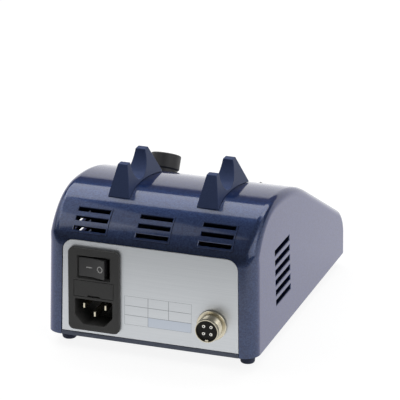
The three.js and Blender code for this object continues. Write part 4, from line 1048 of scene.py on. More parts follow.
# %% Sizes of the mains inlet
INLET = REAR @ Matrix.Translation((*INLET_AT, -PLATE_RECESS))
FLANGE_SIZE, FLANGE_CORNER, FLANGE_FACE = (33.4, 54.0), 3.5, 2.4
BODY_SIZE, BODY_DEPTH, INLET_EDGE = (27.0, 47.6), 28.0, 0.35
WELL_PLACE, WELL_SIZE, WELL_STEP = INLET @ Matrix.Translation((0, 14.9, 0)), (21.4, 15.0), 1.2
DRAWER_WIDTH, DRAWER_HEIGHT, DRAWER_DEPTH, DRAWER_Y = 25.6, 10.4, 13.0, 0.7
DRAWER_GAP = 0.12
RECESS_HALF, RECESS_LOW, RECESS_HIGH, RECESS_DEPTH = 12.25, -22.8, -6.3, 17.0
RECESS_CUT_ACROSS, RECESS_CUT_UP = 5.3, 5.8
RECESS_ROUND, RECESS_ROUND_STEPS = 0.8, 4
print("inlet flange", *FLANGE_SIZE, "mm, recess", 2 * RECESS_HALF, "mm wide")

# %% [markdown]
# ### Inlet body
# A rocker needs room to swing, so its well is a little longer than the rocker is when it lies
# flat. The same well is used for the small switches on the slope, and therefore it is a function
# of the rocker's length, width and rise. The power rocker's are written here, where the well is
# cut.

# %% Inlet body
POWER_ROCKER = (17.8, 12.7, 6.0)
ROCKER_INSET, ROCKER_BARREL, ROCKER_WAIST = 0.4, 3.0, 2.0
ROCKER_TILT = math.radians(8)


def corners_of(width, height):
    x, y = width / 2, height / 2
    return [(-x, -y), (x, -y), (x, y), (-x, y)]


def rocker_well(length, width, rise, bezel, place):
    """The room that a rocker swings in, sunk from the bezel's face."""
    swing = length / 2 + rise * math.sin(ROCKER_TILT) + FIT_GAP
    floor = bezel - ROCKER_INSET - rise - ROCKER_BARREL - ROCKER_WAIST
    size = (2 * swing, width + 2 * FIT_GAP)
    return box_tool("well", size, (floor, bezel + OVERRUN), place)


def plug_recess(top):
    x, across, up = RECESS_HALF, RECESS_CUT_ACROSS, RECESS_LOW + RECESS_CUT_UP
    outline = [(across - x, RECESS_LOW), (x - across, RECESS_LOW), (x, up)]
    outline += [(x, RECESS_HIGH), (-x, RECESS_HIGH), (-x, up)]
    floor = FLANGE_FACE - RECESS_DEPTH
    mouth = outline_block(outline, floor, top, RECESS_ROUND, RECESS_ROUND_STEPS)
    return to_object("recess", mouth, INLET)


def inlet_body():
    flange = outline_block(corners_of(*FLANGE_SIZE), FIT_GAP, FLANGE_FACE, FLANGE_CORNER)
    body = to_object("mains_inlet", flange, INLET)
    behind = box_tool("behind", BODY_SIZE, (-BODY_DEPTH, FLANGE_FACE / 2), INLET)
    carve(body, behind, operation="UNION")
    top = FLANGE_FACE + OVERRUN
    pocket = (DRAWER_WIDTH + 2 * DRAWER_GAP, DRAWER_HEIGHT + 2 * DRAWER_GAP)
    floor = FLANGE_FACE - DRAWER_DEPTH - FIT_GAP
    return carve(
        body,
        plug_recess(top),
        box_tool("pocket", pocket, (floor, top), INLET, (0, DRAWER_Y)),
        box_tool("step", WELL_SIZE, (FLANGE_FACE - WELL_STEP, top), WELL_PLACE),
        rocker_well(*POWER_ROCKER, FLANGE_FACE, WELL_PLACE),
    )


finish_piece(inlet_body(), INLET_NYLON, "black_plastic", "inlet_body", edge=INLET_EDGE)

# %% [markdown]
# ### Rockers
# A rocker swings on two stubs and its face is bent in a shallow V, so one half lies flush while
# the other stands up. Here it rests pressed on one side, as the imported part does. The outline is
# drawn upright, given its width, joined to its stubs and then tilted in its mesh.

# %% Rockers
STUB_RADIUS, STUB_LENGTH, STUB_STEPS = 1.2, 1.0, 24
ROCKER_EDGE = 0.45


def rocker_place(seat, rise, bezel):
    """Where a resting rocker's pivot is, leaning onto its left half."""
    pivot = Matrix.Translation((0, 0, bezel - ROCKER_INSET - rise))
    return seat @ pivot @ Matrix.Rotation(-ROCKER_TILT, 4, "Y")


def rocker(name, length, width, rise, place):
    end, barrel = length / 2, ROCKER_BARREL
    tip = rise + end * math.tan(ROCKER_TILT)
    outline = [(-barrel, -barrel), (barrel, -barrel), (end, ROCKER_WAIST), (end, tip)]
    outline += [(0, rise), (-end, tip), (-end, ROCKER_WAIST)]
    upright = place @ Matrix.Rotation(UPRIGHT, 4, "X")
    body = to_object(name, outline_block(outline, -width / 2, width / 2), upright)
    reach = width / 2 + STUB_LENGTH
    stubs = rod_tool("stubs", STUB_RADIUS, (-reach, reach), upright, steps=STUB_STEPS)
    return carve(body, stubs, operation="UNION")


power_place = rocker_place(WELL_PLACE, POWER_ROCKER[2], FLANGE_FACE)
power_rocker = rocker("mains_rocker", *POWER_ROCKER, power_place)
finish_piece(
    power_rocker,
    ROCKER_GLOSS,
    "black_gloss",
    "power_rocker",
    body="power_rocker",
    edge=ROCKER_EDGE,
)

# %% [markdown]
# ### Marks on the rocker
# On and off are the usual bar and ring, pad printed in white on the two halves of the face. Both
# are thin closed bodies that lie on the tilted halves and ride with the rocker. The ring is a
# small square turned about the mark's middle, as every turned part below is turned from its
# outline.

# %% Marks on the rocker
MARK_LINE, BAR_LENGTH, BAR_ACROSS = 0.65, 3.9, -2.0
RING_RADIUS, RING_ACROSS, RING_STEPS = 1.75, 5.6, 40


def turned(name, profile, place, steps=ROUND_STEPS):
    """A body of revolution about z, from radius and height pairs."""
    bm = bmesh.new()
    verts = [bm.verts.new((radius, 0, z)) for radius, z in profile]
    for pair in zip(verts, verts[1:]):
        bmesh.ops.contextual_create(bm, geom=list(pair))
    bmesh.ops.spin(
        bm,
        geom=everything(bm),
        cent=(0, 0, 0),
        axis=(0, 0, 1),
        angle=math.tau,
        steps=steps,
        use_merge=True,
    )
    bmesh.ops.remove_doubles(bm, verts=bm.verts, dist=MERGE)
    bmesh.ops.recalc_face_normals(bm, faces=bm.faces)
    return to_object(name, bm, place)


def half_face(place, across, rise):
    """The frame on a rocker's face at a distance from its middle."""
    height = rise + abs(across) * math.tan(ROCKER_TILT)
    lean = Matrix.Rotation(math.copysign(ROCKER_TILT, -across), 4, "Y")
    return place @ Matrix.Translation((across, 0, height)) @ lean


inner, outer = RING_RADIUS - MARK_LINE / 2, RING_RADIUS + MARK_LINE / 2
ring = [(inner, 0), (outer, 0), (outer, INK), (inner, INK), (inner, 0)]
on_face, off_face = (half_face(power_place, x, POWER_ROCKER[2]) for x in (BAR_ACROSS, RING_ACROSS))
for mark in (
    box_tool("mark_on", (BAR_LENGTH, MARK_LINE), (0, INK), on_face),
    turned("mark_off", ring, off_face, RING_STEPS),
):
    finish_piece(mark, WHITE_PRINT, "black_gloss", body="power_rocker")

# %% [markdown]
# ### Fuse drawer
# The drawer's face lies flush with the flange and has a finger notch at its lower edge. Its tray
# reaches back into the pocket and has a bed across it for the fuse.

# %% Fuse drawer
DRAWER_FACE, DRAWER_WALL, DRAWER_EDGE = 2.4, 1.6, 0.3
FINGER_WIDTH, FINGER_DEPTH = 8.0, 1.2
FUSE_LENGTH, FUSE_RADIUS = 20.0, 2.6
FUSE_Z = FLANGE_FACE - DRAWER_DEPTH / 2 - DRAWER_FACE / 2


def drawer():
    height, face = DRAWER_HEIGHT, FLANGE_FACE
    place = INLET @ Matrix.Translation((0, DRAWER_Y, 0))
    front = outline_block(corners_of(DRAWER_WIDTH, height), face - DRAWER_FACE, face)
    body = to_object("fuse_drawer_moulding", front, place)
    tray = (DRAWER_WIDTH - 2 * FIT_GAP, height - 2 * FIT_GAP)
    middle = face - DRAWER_FACE / 2
    carve(body, box_tool("tray", tray, (face - DRAWER_DEPTH, middle), place), operation="UNION")
    room, bed = FUSE_RADIUS + FIT_GAP, (FUSE_LENGTH + 2 * FIT_GAP, height)
    finger = (FINGER_WIDTH, 2 * FINGER_DEPTH)
    return carve(
        body,
        box_tool("bed", bed, (FUSE_Z - room, FUSE_Z + room), place, (0, DRAWER_WALL)),
        box_tool("finger", finger, (middle, face + OVERRUN), place, (0, -height / 2)),
    )


finish_piece(
    drawer(), INLET_NYLON, "black_plastic", "fuse_drawer", body="fuse_drawer", edge=DRAWER_EDGE
)

# %% [markdown]
# ### Fuse
# The fuse is a standard glass tube of 5 by 20 mm with a nickel cap on each end. Tube and caps are
# plain drums, turned like the real ones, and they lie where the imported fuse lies.

# %% Fuse
FUSE_GLASS_RADIUS, CAP_LENGTH, FUSE_STEPS = 2.35, 5.0, 32


def drum(name, radius, low, high, place, steps):
    profile = [(0, low), (radius, low), (radius, high), (0, high)]
    return turned(name, profile, place, steps)


fuse_low, fuse_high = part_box("fuse")
fuse_place = Matrix.Translation((fuse_low + fuse_high) / 2 / MM) @ SIDEWAYS
fuse_end, glass_end = FUSE_LENGTH / 2, FUSE_LENGTH / 2 - CAP_LENGTH
tube = drum("fuse_tube", FUSE_GLASS_RADIUS, -glass_end, glass_end, fuse_place, FUSE_STEPS)
finish_piece(tube, FUSE_GLASS, "fuse_glass", "fuse", body="fuse_drawer")
for side, sign in (("left", -1), ("right", 1)):
    ends = (sign * glass_end, sign * fuse_end)
    cap = drum(f"fuse_cap_{side}", FUSE_RADIUS, *ends, fuse_place, FUSE_STEPS)
    finish_piece(cap, NICKEL, "nickel", body="fuse_drawer", edge=DRAWER_EDGE)

# %% [markdown]
# ### Mains pins
# The three flat pins end 2 mm behind the flange's face, and their tips are drawn in so that the
# plug finds them. Each is a bar whose end face is raised once more with a spread below one.

# %% Mains pins
PIN_SIZE, PIN_TIP, PIN_TAIL, PIN_TAPER, PIN_EDGE = (2.0, 4.0), 0.4, -36.0, 0.5, 0.12
PINS = {"line_pin": (-7.0, -11.15), "neutral_pin": (7.0, -11.15), "earth_pin": (0.0, -16.15)}
for name, at in PINS.items():
    bar = outline_block(corners_of(*PIN_SIZE), PIN_TAIL, PIN_TIP - 2 * PIN_TAPER)
    end = max(bar.faces, key=lambda face: face.calc_center_median().z)
    raise_face(bar, end, 2 * PIN_TAPER, (*[1 - 2 * PIN_TAPER / size for size in PIN_SIZE], 1))
    pin = to_object(f"{name}_blade", bar, INLET @ Matrix.Translation((*at, 0)))
    finish_piece(pin, NICKEL, "nickel", name, edge=PIN_EDGE)

# %% [markdown]
# ## Output socket
# The round socket is turned brass under nickel: a flange against the plate, a threaded barrel for
# the plug's ring, and a key inside at the bottom. The thread is drawn as rings, which at this size
# the eye can't tell from a helix.

# %% Shell of the output socket
OUTPUT = REAR @ Matrix.Translation((*OUTPUT_AT, -PLATE_RECESS))
SHELL_FLANGE_RADIUS, SHELL_FLANGE, SHELL_EDGE = 9.5, 1.6, 0.5
SHELL_BORE, SHELL_TAIL, SHELL_RIM = 6.9, -10.5, 10.9
THREAD_PITCH, THREAD_DEPTH, THREAD_FOOT, THREAD_TOP = 0.75, 0.22, 3.0, 9.6
KEY_WIDTH, KEY_DEPTH, INSERT_FACE = 2.0, 1.0, 9.3
SOCKET_STEPS = 96


def thread():
    """Points of the thread's outline, its crests level with the barrel."""
    points, z = [], THREAD_FOOT
    while z + THREAD_PITCH <= THREAD_TOP:
        points += [(BARREL_RADIUS, z), (BARREL_RADIUS - THREAD_DEPTH, z + THREAD_PITCH / 2)]
        z += THREAD_PITCH
    return points + [(BARREL_RADIUS, z)]


def output_shell():
    flange_top, chamfer = FIT_GAP + SHELL_FLANGE, SHELL_EDGE / 2
    profile = [
        (SHELL_BORE, SHELL_TAIL),
        (BARREL_RADIUS, SHELL_TAIL),
        (BARREL_RADIUS, FIT_GAP),
        (SHELL_FLANGE_RADIUS, FIT_GAP),
        (SHELL_FLANGE_RADIUS, flange_top - chamfer),
        (SHELL_FLANGE_RADIUS - chamfer, flange_top),
        (BARREL_RADIUS, flange_top),
        *thread(),
        (BARREL_RADIUS - chamfer, SHELL_RIM),
        (SHELL_BORE, SHELL_RIM),
        (SHELL_BORE, SHELL_TAIL),
    ]
    shell = turned("output_socket_shell", profile, OUTPUT, SOCKET_STEPS)
    size, reach = (KEY_WIDTH, KEY_DEPTH + FIT_GAP), (INSERT_FACE + FIT_GAP, SHELL_RIM - SHELL_EDGE)
    key = box_tool("key", size, reach, OUTPUT, (0, KEY_DEPTH / 2 - SHELL_BORE))
    return carve(shell, key, operation="UNION")


finish_piece(output_shell(), NICKEL, "nickel", "socket_shell")

# %% [markdown]
# ### Insert and contacts
# The black insert holds four silver contacts. Each contact is a turned tube with a softened rim,
# closed far down, so that it reads as a hole and not as a disc.

# %% Insert and contacts
INSERT_BACK = -14.5
CONTACTS, CONTACT_STEPS = 4, 32
CONTACT_CIRCLE, CONTACT_RADIUS, CONTACT_BORE, CONTACT_BORE_DEPTH = 3.35, 1.05, 0.5, 6.0
CONTACT_TIP, CONTACT_TAIL, CONTACT_EDGE = 9.5, -18.5, 0.2

ends = (INSERT_BACK, INSERT_FACE)
insert = drum("output_socket_insert", SHELL_BORE, *ends, OUTPUT, SOCKET_STEPS)
finish_piece(insert, SOCKET_NYLON, "black_plastic", "socket_insert")
contact_profile = [
    (0, CONTACT_TAIL),
    (CONTACT_RADIUS, CONTACT_TAIL),
    (CONTACT_RADIUS, CONTACT_TIP - CONTACT_EDGE),
    (CONTACT_RADIUS - CONTACT_EDGE, CONTACT_TIP),
    (CONTACT_BORE, CONTACT_TIP),
    (CONTACT_BORE, CONTACT_TIP - CONTACT_BORE_DEPTH),
    (0, CONTACT_TIP - CONTACT_BORE_DEPTH),
]
for i in range(CONTACTS):
    turn = (2 * i + 1) * math.pi / CONTACTS
    at = (CONTACT_CIRCLE * math.cos(turn), CONTACT_CIRCLE * math.sin(turn), 0)
    place = OUTPUT @ Matrix.Translation(at)
    contact = turned(f"output_contact_{i + 1}", contact_profile, place, CONTACT_STEPS)
    finish_piece(contact, CONTACT_SILVER, "brass", f"socket_contact_{i + 1}")

# %% [markdown]
# ## Speed knob
# The knob is a collar with a wider grip above it and a softly rounded top edge. It is hollow from
# below, as a moulded one is, and pushed onto its shaft. A white line is laid into its top from the
# middle to the rim. Half the knob's travel is turned into its place, because it rests at zero.

# %% Speed knob
KNOB_RADIUS, KNOB_WAIST, KNOB_HEIGHT, KNOB_COLLAR = 10.0, 9.0, 14.4, 4.2
KNOB_HOLLOW_RADIUS, KNOB_HOLLOW, KNOB_BORE_RADIUS, KNOB_BORE = 7.0, 5.0, 3.3, 11.5
KNOB_EDGE, KNOB_DISH, QUARTER_STEPS, KNOB_STEPS = 1.0, 0.25, 6, 96
POINTER_WIDTH, POINTER_DEPTH = 1.0, 0.5
KNOB_TRAVEL = math.radians(300)


def on_slope(at):
    return SLOPE_FRAME @ Matrix.Translation((*at, 0))


def quarter_round(radius, z, edge, steps=QUARTER_STEPS):
    """Points of a rounded edge that turns from the side onto the top."""
    turns = [UPRIGHT * i / steps for i in range(steps + 1)]
    return [(radius - edge + edge * math.cos(t), z - edge + edge * math.sin(t)) for t in turns]


knob_place = on_slope(KNOB_AT) @ Matrix.Rotation(KNOB_TRAVEL / 2, 4, "Z")
knob_top, grip = FIT_GAP + KNOB_HEIGHT, FIT_GAP + KNOB_COLLAR
knob_profile = [
    (KNOB_BORE_RADIUS, FIT_GAP + KNOB_HOLLOW),
    (KNOB_HOLLOW_RADIUS, FIT_GAP + KNOB_HOLLOW),
    (KNOB_HOLLOW_RADIUS, FIT_GAP),
    (KNOB_WAIST, FIT_GAP),
    (KNOB_WAIST, grip),
    (KNOB_RADIUS - KNOB_EDGE / 2, grip + KNOB_EDGE / 2),
    (KNOB_RADIUS, grip + KNOB_EDGE),
    *quarter_round(KNOB_RADIUS, knob_top, KNOB_EDGE),
    (0, knob_top - KNOB_DISH),
    (0, FIT_GAP + KNOB_BORE),
    (KNOB_BORE_RADIUS, FIT_GAP + KNOB_BORE),
    (KNOB_BORE_RADIUS, FIT_GAP + KNOB_HOLLOW),
]
knob = turned("knob_moulding", knob_profile, knob_place, KNOB_STEPS)
finish_piece(knob, KNOB_RUBBER, "black_gloss", "speed_knob", body="speed_knob")
length = KNOB_RADIUS - KNOB_EDGE
depth = (knob_top - POINTER_DEPTH - KNOB_DISH, knob_top - INK)
size, middle = (POINTER_WIDTH, length), (0, length / 2)
pointer = box_tool("knob_pointer", size, depth, knob_place, middle)
finish_piece(pointer, WHITE_PRINT, "black_gloss", body="speed_knob")

# %% [markdown]
# ### Dial
# The scale round the knob is plain white print: eleven ticks over the knob's travel, every second
# one with a number. A number starts as a text object, which is then made a mesh with a little
# thickness, so that it exports like any other piece.

# %% Dial
TICKS, TICK_INNER, TICK_LENGTH, TICK_WIDTH = 11, 12.2, 2.2, 0.5
NUMBER_RADIUS, NUMBER_SIZE = 17.2, 3.4


def tick_turn(value):
    return KNOB_TRAVEL / 2 - KNOB_TRAVEL * value / (TICKS - 1)


def dial_ticks():
    bm = bmesh.new()
    for i in range(TICKS):
        size, middle = (TICK_WIDTH, TICK_LENGTH, 2 * INK), (0, TICK_INNER + TICK_LENGTH / 2, 0)
        turn = Matrix.Rotation(tick_turn(i), 3, "Z")
        bmesh.ops.rotate(bm, cent=(0, 0, 0), matrix=turn, verts=add_box(bm, size, middle))
    return to_object("dial_ticks", bm, on_slope(KNOB_AT))


def dial_number(value):
    """A number as a mesh, set upright at its place round the knob."""
    letters = bpy.data.curves.new(f"number_{value}", "FONT")
    letters.body, letters.size, letters.extrude = str(value), NUMBER_SIZE, INK
    letters.align_x, letters.align_y = "CENTER", "CENTER"
    text = bpy.data.objects.new(letters.name, letters)
    bpy.context.scene.collection.objects.link(text)
    bpy.context.view_layer.update()
    graph = bpy.context.evaluated_depsgraph_get()
    bm = bmesh.new()
    bm.from_mesh(bpy.data.meshes.new_from_object(text.evaluated_get(graph)))
    bpy.data.objects.remove(text)
    turn = tick_turn(value)
    at = Vector(KNOB_AT) + NUMBER_RADIUS * Vector((-math.sin(turn), math.cos(turn)))
    return to_object(f"dial_number_{value}", bm, on_slope(at))


finish_piece(dial_ticks(), WHITE_PRINT, "navy_plastic")
for value in range(0, TICKS, 2):
    finish_piece(dial_number(value), WHITE_PRINT, "navy_plastic")

# %% [markdown]
# ## Front switches
# The two rocker switches snap into the slope behind a bezel with softened edges. Bezel and can are
# joined, the well is cut, and the levers are small sisters of the power rocker.

# %% Front switches
BEZEL_SIZE, BEZEL_TOP, BEZEL_CORNER = (21.5, 15.4), 2.1, 1.2
SWITCH_CAN, SWITCH_CAN_DEPTH = (19.0, 12.8), 13.0
FRONT_ROCKER, SWITCH_EDGE = (15.4, 10.0, 5.0), 0.4
for name, at in zip(("direction", "selector"), SWITCHES_AT):
    place = on_slope(at)
    bezel = outline_block(corners_of(*BEZEL_SIZE), FIT_GAP, BEZEL_TOP, BEZEL_CORNER)
    bezel = to_object(f"{name}_bezel", bezel, place)
    can = box_tool("can", SWITCH_CAN, (-SWITCH_CAN_DEPTH, BEZEL_TOP / 2), place)
    carve(bezel, can, operation="UNION")
    carve(bezel, rocker_well(*FRONT_ROCKER, BEZEL_TOP, place))
    finish_piece(bezel, INLET_NYLON, "black_plastic", f"{name}_switch", edge=SWITCH_EDGE)
    pivot, body = rocker_place(place, FRONT_ROCKER[2], BEZEL_TOP), f"{name}_rocker"
    lever = rocker(f"{name}_lever", *FRONT_ROCKER, pivot)
    finish_piece(lever, ROCKER_GLOSS, "black_gloss", body, body=body, edge=SWITCH_EDGE)

# %% [markdown]
# ## Lamp
# The lamp is a red dome in a turned ring. The dome is a cap of a ball that is a quarter wider than
# the lens, and it rises half the lens's radius above the ring. A stem and a flange below hold it.

# %% Lamp
LAMP_RADIUS, LAMP_RING_RADIUS, LAMP_RING_TOP, LAMP_BUSH, LAMP_DEPTH = 2.5, 5.0, 1.9, 3.9, 6.0
LENS_FLANGE_RADIUS, LENS_FLANGE, DOME_BALL = 3.1, 1.0, 1.25
DOME_STEPS, LENS_STEPS = 8, 48


def lamp_lens():
    seat, ball = -LAMP_DEPTH - FIT_GAP, LAMP_RADIUS * DOME_BALL
    centre = LAMP_RING_TOP + LAMP_RADIUS / 2 - ball
    reach = math.asin(LAMP_RADIUS / ball)
    turns = [reach * (1 - i / DOME_STEPS) for i in range(DOME_STEPS + 1)]
    profile = [(0, seat - LENS_FLANGE), (LENS_FLANGE_RADIUS, seat - LENS_FLANGE)]
    profile += [(LENS_FLANGE_RADIUS, seat), (LAMP_RADIUS, seat)]
    profile += [(ball * math.sin(turn), centre + ball * math.cos(turn)) for turn in turns]
    return turned("lamp_dome", profile, on_slope(LAMP_AT), LENS_STEPS)


lamp_bore = LAMP_RADIUS + FIT_GAP
lamp_profile = [
    (lamp_bore, -LAMP_DEPTH),
    (LAMP_BUSH, -LAMP_DEPTH),
    (LAMP_BUSH, FIT_GAP),
    (LAMP_RING_RADIUS, FIT_GAP),
    *quarter_round(LAMP_RING_RADIUS, LAMP_RING_TOP, LAMP_RING_TOP / 2, DOME_STEPS),
    (lamp_bore, LAMP_RING_TOP),
    (lamp_bore, -LAMP_DEPTH),
]
lamp_ring = turned("lamp_ring", lamp_profile, on_slope(LAMP_AT))
finish_piece(lamp_ring, NICKEL, "nickel", "lamp_holder")
finish_piece(lamp_lens(), LAMP_RED, "lamp_red", "lamp_lens")

# %% [markdown]
# ## Handpiece socket
# The handpiece's plug goes into a plain nickel ring with a black insert. Its five holes lie on half
# a circle, bored as in the real moulding.

# %% Handpiece socket
RING_OUTER, RING_TOP, RING_BORE, RING_BUSH, RING_DEPTH, RING_EDGE = 9.6, 2.7, 7.2, 8.2, 12.0, 0.3
CORE_FACE, CORE_BACK = 1.9, -17.0
PIN_HOLE_RADIUS, PIN_HOLE_CIRCLE, PIN_HOLE_DEPTH, PIN_HOLES = 0.8, 4.0, 5.0, 5
PIN_HOLE_STEPS = 24

socket_place = on_slope(HANDPIECE_AT)
ring_profile = [
    (RING_BORE, -RING_DEPTH),
    (RING_BUSH, -RING_DEPTH),
    (RING_BUSH, FIT_GAP),
    (RING_OUTER, FIT_GAP),
    *quarter_round(RING_OUTER, RING_TOP, SHELL_EDGE),
    (RING_BORE + RING_EDGE, RING_TOP),
    (RING_BORE, RING_TOP - RING_EDGE),
    (RING_BORE, -RING_DEPTH),
]
socket_ring = turned("handpiece_socket_ring", ring_profile, socket_place, SOCKET_STEPS)
finish_piece(socket_ring, NICKEL, "nickel", "motor_socket_shell")
ends = (CORE_BACK, CORE_FACE)
core = drum("handpiece_socket_core", RING_BORE, *ends, socket_place, SOCKET_STEPS)
reach = (CORE_FACE - PIN_HOLE_DEPTH, CORE_FACE + OVERRUN)
holes = []
for i in range(PIN_HOLES):
    turn = math.pi * i / (PIN_HOLES - 1)
    at = (PIN_HOLE_CIRCLE * math.cos(turn), PIN_HOLE_CIRCLE * math.sin(turn))
    holes.append(rod_tool("hole", PIN_HOLE_RADIUS, reach, socket_place, at, PIN_HOLE_STEPS))
finish_piece(carve(core, *holes), ROCKER_GLOSS, "black_plastic", "motor_socket_insert")

# %% [markdown]
# ## Base screws
# The four base screws lie deep in their wells with a cross recess: two crossed blocks are cut out
# of a turned head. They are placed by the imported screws' boxes.

# %% Base screws
HEAD_RADIUS, HEAD_HEIGHT, HEAD_FLAT = 3.1, 2.2, 0.75
SHANK_RADIUS, SCREW_LENGTH, SCREW_SEAT, SCREW_STEPS = 1.6, 14.0, 2.85, 32
CROSS_LENGTH, CROSS_WIDTH, CROSS_DEPTH = 3.4, 0.8, 1.4


def nodes_named(start):
    return sorted(name for name in frame["nodes"] if name.startswith(start))


def foot_of(node, above):
    """The frame in the middle of a node's box, its origin a height above the box's foot."""
    low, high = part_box(node)
    middle = (low + high) / 2 / MM
    return Matrix.Translation((middle.x, middle.y, low.z / MM + above))


def cross_screw(node):
    top, tip = SCREW_SEAT - HEAD_HEIGHT, SCREW_SEAT + SCREW_LENGTH
    profile = [
        (0, top),
        (HEAD_RADIUS * HEAD_FLAT, top),
        (HEAD_RADIUS, SCREW_SEAT - HEAD_HEIGHT / 2),
        (HEAD_RADIUS, SCREW_SEAT),
        (SHANK_RADIUS, SCREW_SEAT),
        (SHANK_RADIUS, tip - SHANK_RADIUS),
        (0, tip),
    ]
    place = foot_of(node, -top)
    screw = turned(f"cross_{node}", profile, place, SCREW_STEPS)
    reach = (top - OVERRUN, top + CROSS_DEPTH)
    return carve(
        screw,
        box_tool("slot_one", (CROSS_LENGTH, CROSS_WIDTH), reach, place),
        box_tool("slot_two", (CROSS_WIDTH, CROSS_LENGTH), reach, place),
    )


for node in nodes_named("base_screw_"):
    finish_piece(cross_screw(node), ZINC_STEEL, "steel", node)

# %% [markdown]
# ## Feet
# The feet are rubber buttons, narrower at the toe, with a stud that is pushed into the base. One
# outline with a rounded lower edge is turned for all six.

# %% Feet
FOOT_HEIGHT, FOOT_RADIUS, FOOT_TOE, FOOT_EDGE = 8.5, 5.3, 4.5, 1.2
STUD_RADIUS, STUD_LENGTH = 2.0, 2.2

toe = [(radius, -z) for radius, z in quarter_round(FOOT_TOE, FOOT_HEIGHT, FOOT_EDGE)]
foot_profile = [(0, -FOOT_HEIGHT), *reversed(toe), (FOOT_RADIUS, 0)]
foot_profile += [(STUD_RADIUS, 0), (STUD_RADIUS, STUD_LENGTH), (0, STUD_LENGTH)]
for node in nodes_named("foot_"):
    foot = turned(f"rubber_{node}", foot_profile, foot_of(node, FOOT_HEIGHT))
    finish_piece(foot, FOOT_RUBBER, "black_plastic", node)

# %% [markdown]
# ## Parts kept from the frame
# The base and the parts inside have the right shape already. They keep their meshes and get the
# finish of what they are made of.

# %% Finishes of the kept parts
KEPT = {
    NICKEL: ("socket_nut", "motor_socket_nut", "potentiometer_nut", "standoff"),
    ZINC_STEEL: ("speed_shaft", "transformer_strap", "strap_screw"),
    RAW_ALUMINIUM: ("potentiometer", "heat_sink"),
    BASE_ABS: ("base_plate",),
    CORE_SHEETS: ("transformer_core",),
    COIL_TAPE: ("transformer_coil",),
    BOARD: ("circuit_board",),
    SLEEVE: ("capacitor",),
}
finishes = {start: finish for finish, starts in KEPT.items() for start in starts}
replaced = {name for obj in bpy.data.objects for name in obj.get("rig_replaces", [])}
for node in sorted(set(frame["nodes"]) - replaced):
    start = max((start for start in finishes if node.startswith(start)), key=len)
    frame["nodes"][node].material_slots[0].material = finishes[start]
    print("kept", node, "as", finishes[start].name)

# %% [markdown]
# ## Stage
# The box stands on a wide white disc with a low white wall round it, as in a small studio. The
# camera sees both as plain white, while the disc still takes the box's shadow. In mirrors the
# paper is white too, but on the camera's side it dims to a tenth from 0.21 to 0.3 m behind the
# box's middle, because a fully white room would wash out the crown's dark gloss.

# %% Stage
STAGE_RADIUS, WALL_RISE, STAGE_STEPS = 3.0, 1.1, 96
SEEN_LEVEL, PAPER_ENDS, PAPER_LEFT = 0.88, (0.21, 0.3), 0.1
PAPER_GRAIN, WHITE = 40, (1, 1, 1, 1)


def white_stage():
    material, tree, place = blank_material("white_stage")
    paper = add(tree, "ShaderNodeTexNoise", {"Vector": place, "Scale": per(PAPER_GRAIN)})
    tones = {MIX_FIRST: linear("#7a7a7a"), MIX_SECOND: linear("#808080")}
    tone = add(
        tree, "ShaderNodeMix", {MIX_SHARE: paper.outputs["Fac"], **tones}, data_type="RGBA"
    )
    matte = add(tree, "ShaderNodeBsdfDiffuse", {"Color": tone.outputs[MIX_RESULT]})
    along = add(tree, "ShaderNodeSeparateXYZ", {"Vector": place}).outputs["Y"]
    ends = {"From Min": PAPER_ENDS[0], "From Max": PAPER_ENDS[1]}
    dimmed = add(
        tree,
        "ShaderNodeMapRange",
        {"Value": along, **ends, "To Min": 1.0, "To Max": PAPER_LEFT},
    )
    rays = add(tree, "ShaderNodeLightPath").outputs
    by_a_piece = add(
        tree,
        "ShaderNodeMath",
        {0: rays["Is Glossy Ray"], 1: rays["Is Transmission Ray"]},
        operation="MAXIMUM",
    ).outputs[0]
    mirrored = add(
        tree, "ShaderNodeMath", {0: by_a_piece, 1: dimmed.outputs["Result"]}, operation="MULTIPLY"
    ).outputs[0]
    lift = add(
        tree,
        "ShaderNodeMath",
        {0: rays["Is Camera Ray"], 1: SEEN_LEVEL, 2: mirrored},
        operation="MULTIPLY_ADD",
    ).outputs[0]
    glow = add(tree, "ShaderNodeEmission", {"Color": WHITE, "Strength": lift})
    both = add(tree, "ShaderNodeAddShader", {0: matte.outputs[0], 1: glow.outputs[0]})
    add(tree, "ShaderNodeOutputMaterial", {"Surface": both.outputs[0]})
    return material


def make_stage():
    bm = bmesh.new()
    bmesh.ops.create_circle(bm, cap_ends=True, segments=STAGE_STEPS, radius=STAGE_RADIUS)
    rim = [edge for edge in bm.edges if edge.is_boundary]
    lifted = bmesh.ops.extrude_edge_only(bm, edges=rim)["geom"]
    top = [part for part in lifted if isinstance(part, bmesh.types.BMVert)]
    bmesh.ops.translate(bm, vec=(0, 0, WALL_RISE), verts=top)
    mesh = bpy.data.meshes.new("stage")
    bm.to_mesh(mesh)
    bm.free()
    mesh.materials.append(white_stage())
    stage = bpy.data.objects.new("stage", mesh)
    bpy.context.scene.collection.objects.link(stage)


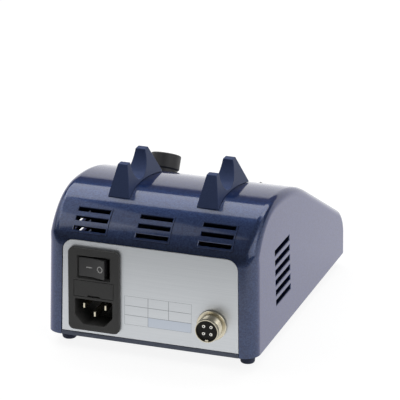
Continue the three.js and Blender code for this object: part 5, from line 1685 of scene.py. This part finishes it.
make_stage()
print("stage", STAGE_RADIUS, "m round")

# %% [markdown]
# ## Lights
# Large soft boxes light a glossy moulding best, because their mirror images end softly along its
# curves. The one in front makes the bright skyline of the crown. The near one and the spot stand
# close together, so that the patch of light which they leave fades at its edge. The room is dim,
# and that keeps the rest of the gloss dark.

# %% Lights
ROOM_LEVEL = 0.17
AIM = Vector((0, 0, 0.05))
# Azimuth and elevation in degrees; distance, width and height in metres; radiance. Azimuth 0
# stands on the +Y side, behind the box, and 90 on the -X side.
SOFTBOXES = {
    "front_softbox": (192, 60, 1.1, 1.5, 0.6, 2.5),
    "corner_softbox": (135, 60, 1.2, 0.4, 0.4, 1.0),
    "near_softbox": (300, 55, 0.476, 0.36, 0.24, 0.7),
    "spot_softbox": (312, 47, 0.476, 0.18, 0.16, 0.8),
    "left_softbox": (90, 40, 1.2, 0.9, 0.7, 0.5),
    "right_softbox": (270, 40, 1.2, 0.9, 0.7, 1.2),
    "rear_softbox": (60, 30, 1.3, 1.1, 0.9, 1.3),
}


def softbox(name, azimuth, elevation, distance, width, height, radiance):
    turn, rise = math.radians(azimuth), math.radians(elevation)
    away = Vector(
        (-math.sin(turn) * math.cos(rise), math.cos(turn) * math.cos(rise), math.sin(rise))
    )
    data = bpy.data.lights.new(name, "AREA")
    data.shape = "RECTANGLE"
    data.size, data.size_y = width, height
    data.energy = radiance * math.pi * width * height
    lamp = bpy.data.objects.new(name, data)
    lamp.location = AIM + away * distance
    lamp.rotation_euler = away.to_track_quat("Z", "Y").to_euler()
    bpy.context.scene.collection.objects.link(lamp)


world = bpy.data.worlds.new("room")
world.use_nodes = True
world.node_tree.nodes.clear()
level = {"Color": WHITE, "Strength": ROOM_LEVEL}
air = add(world.node_tree, "ShaderNodeBackground", level)
add(world.node_tree, "ShaderNodeOutputWorld", {"Surface": air.outputs[0]})
bpy.context.scene.world = world
for name, settings in SOFTBOXES.items():
    softbox(name, *settings)
bpy.context.scene.view_settings.view_transform = "Standard"
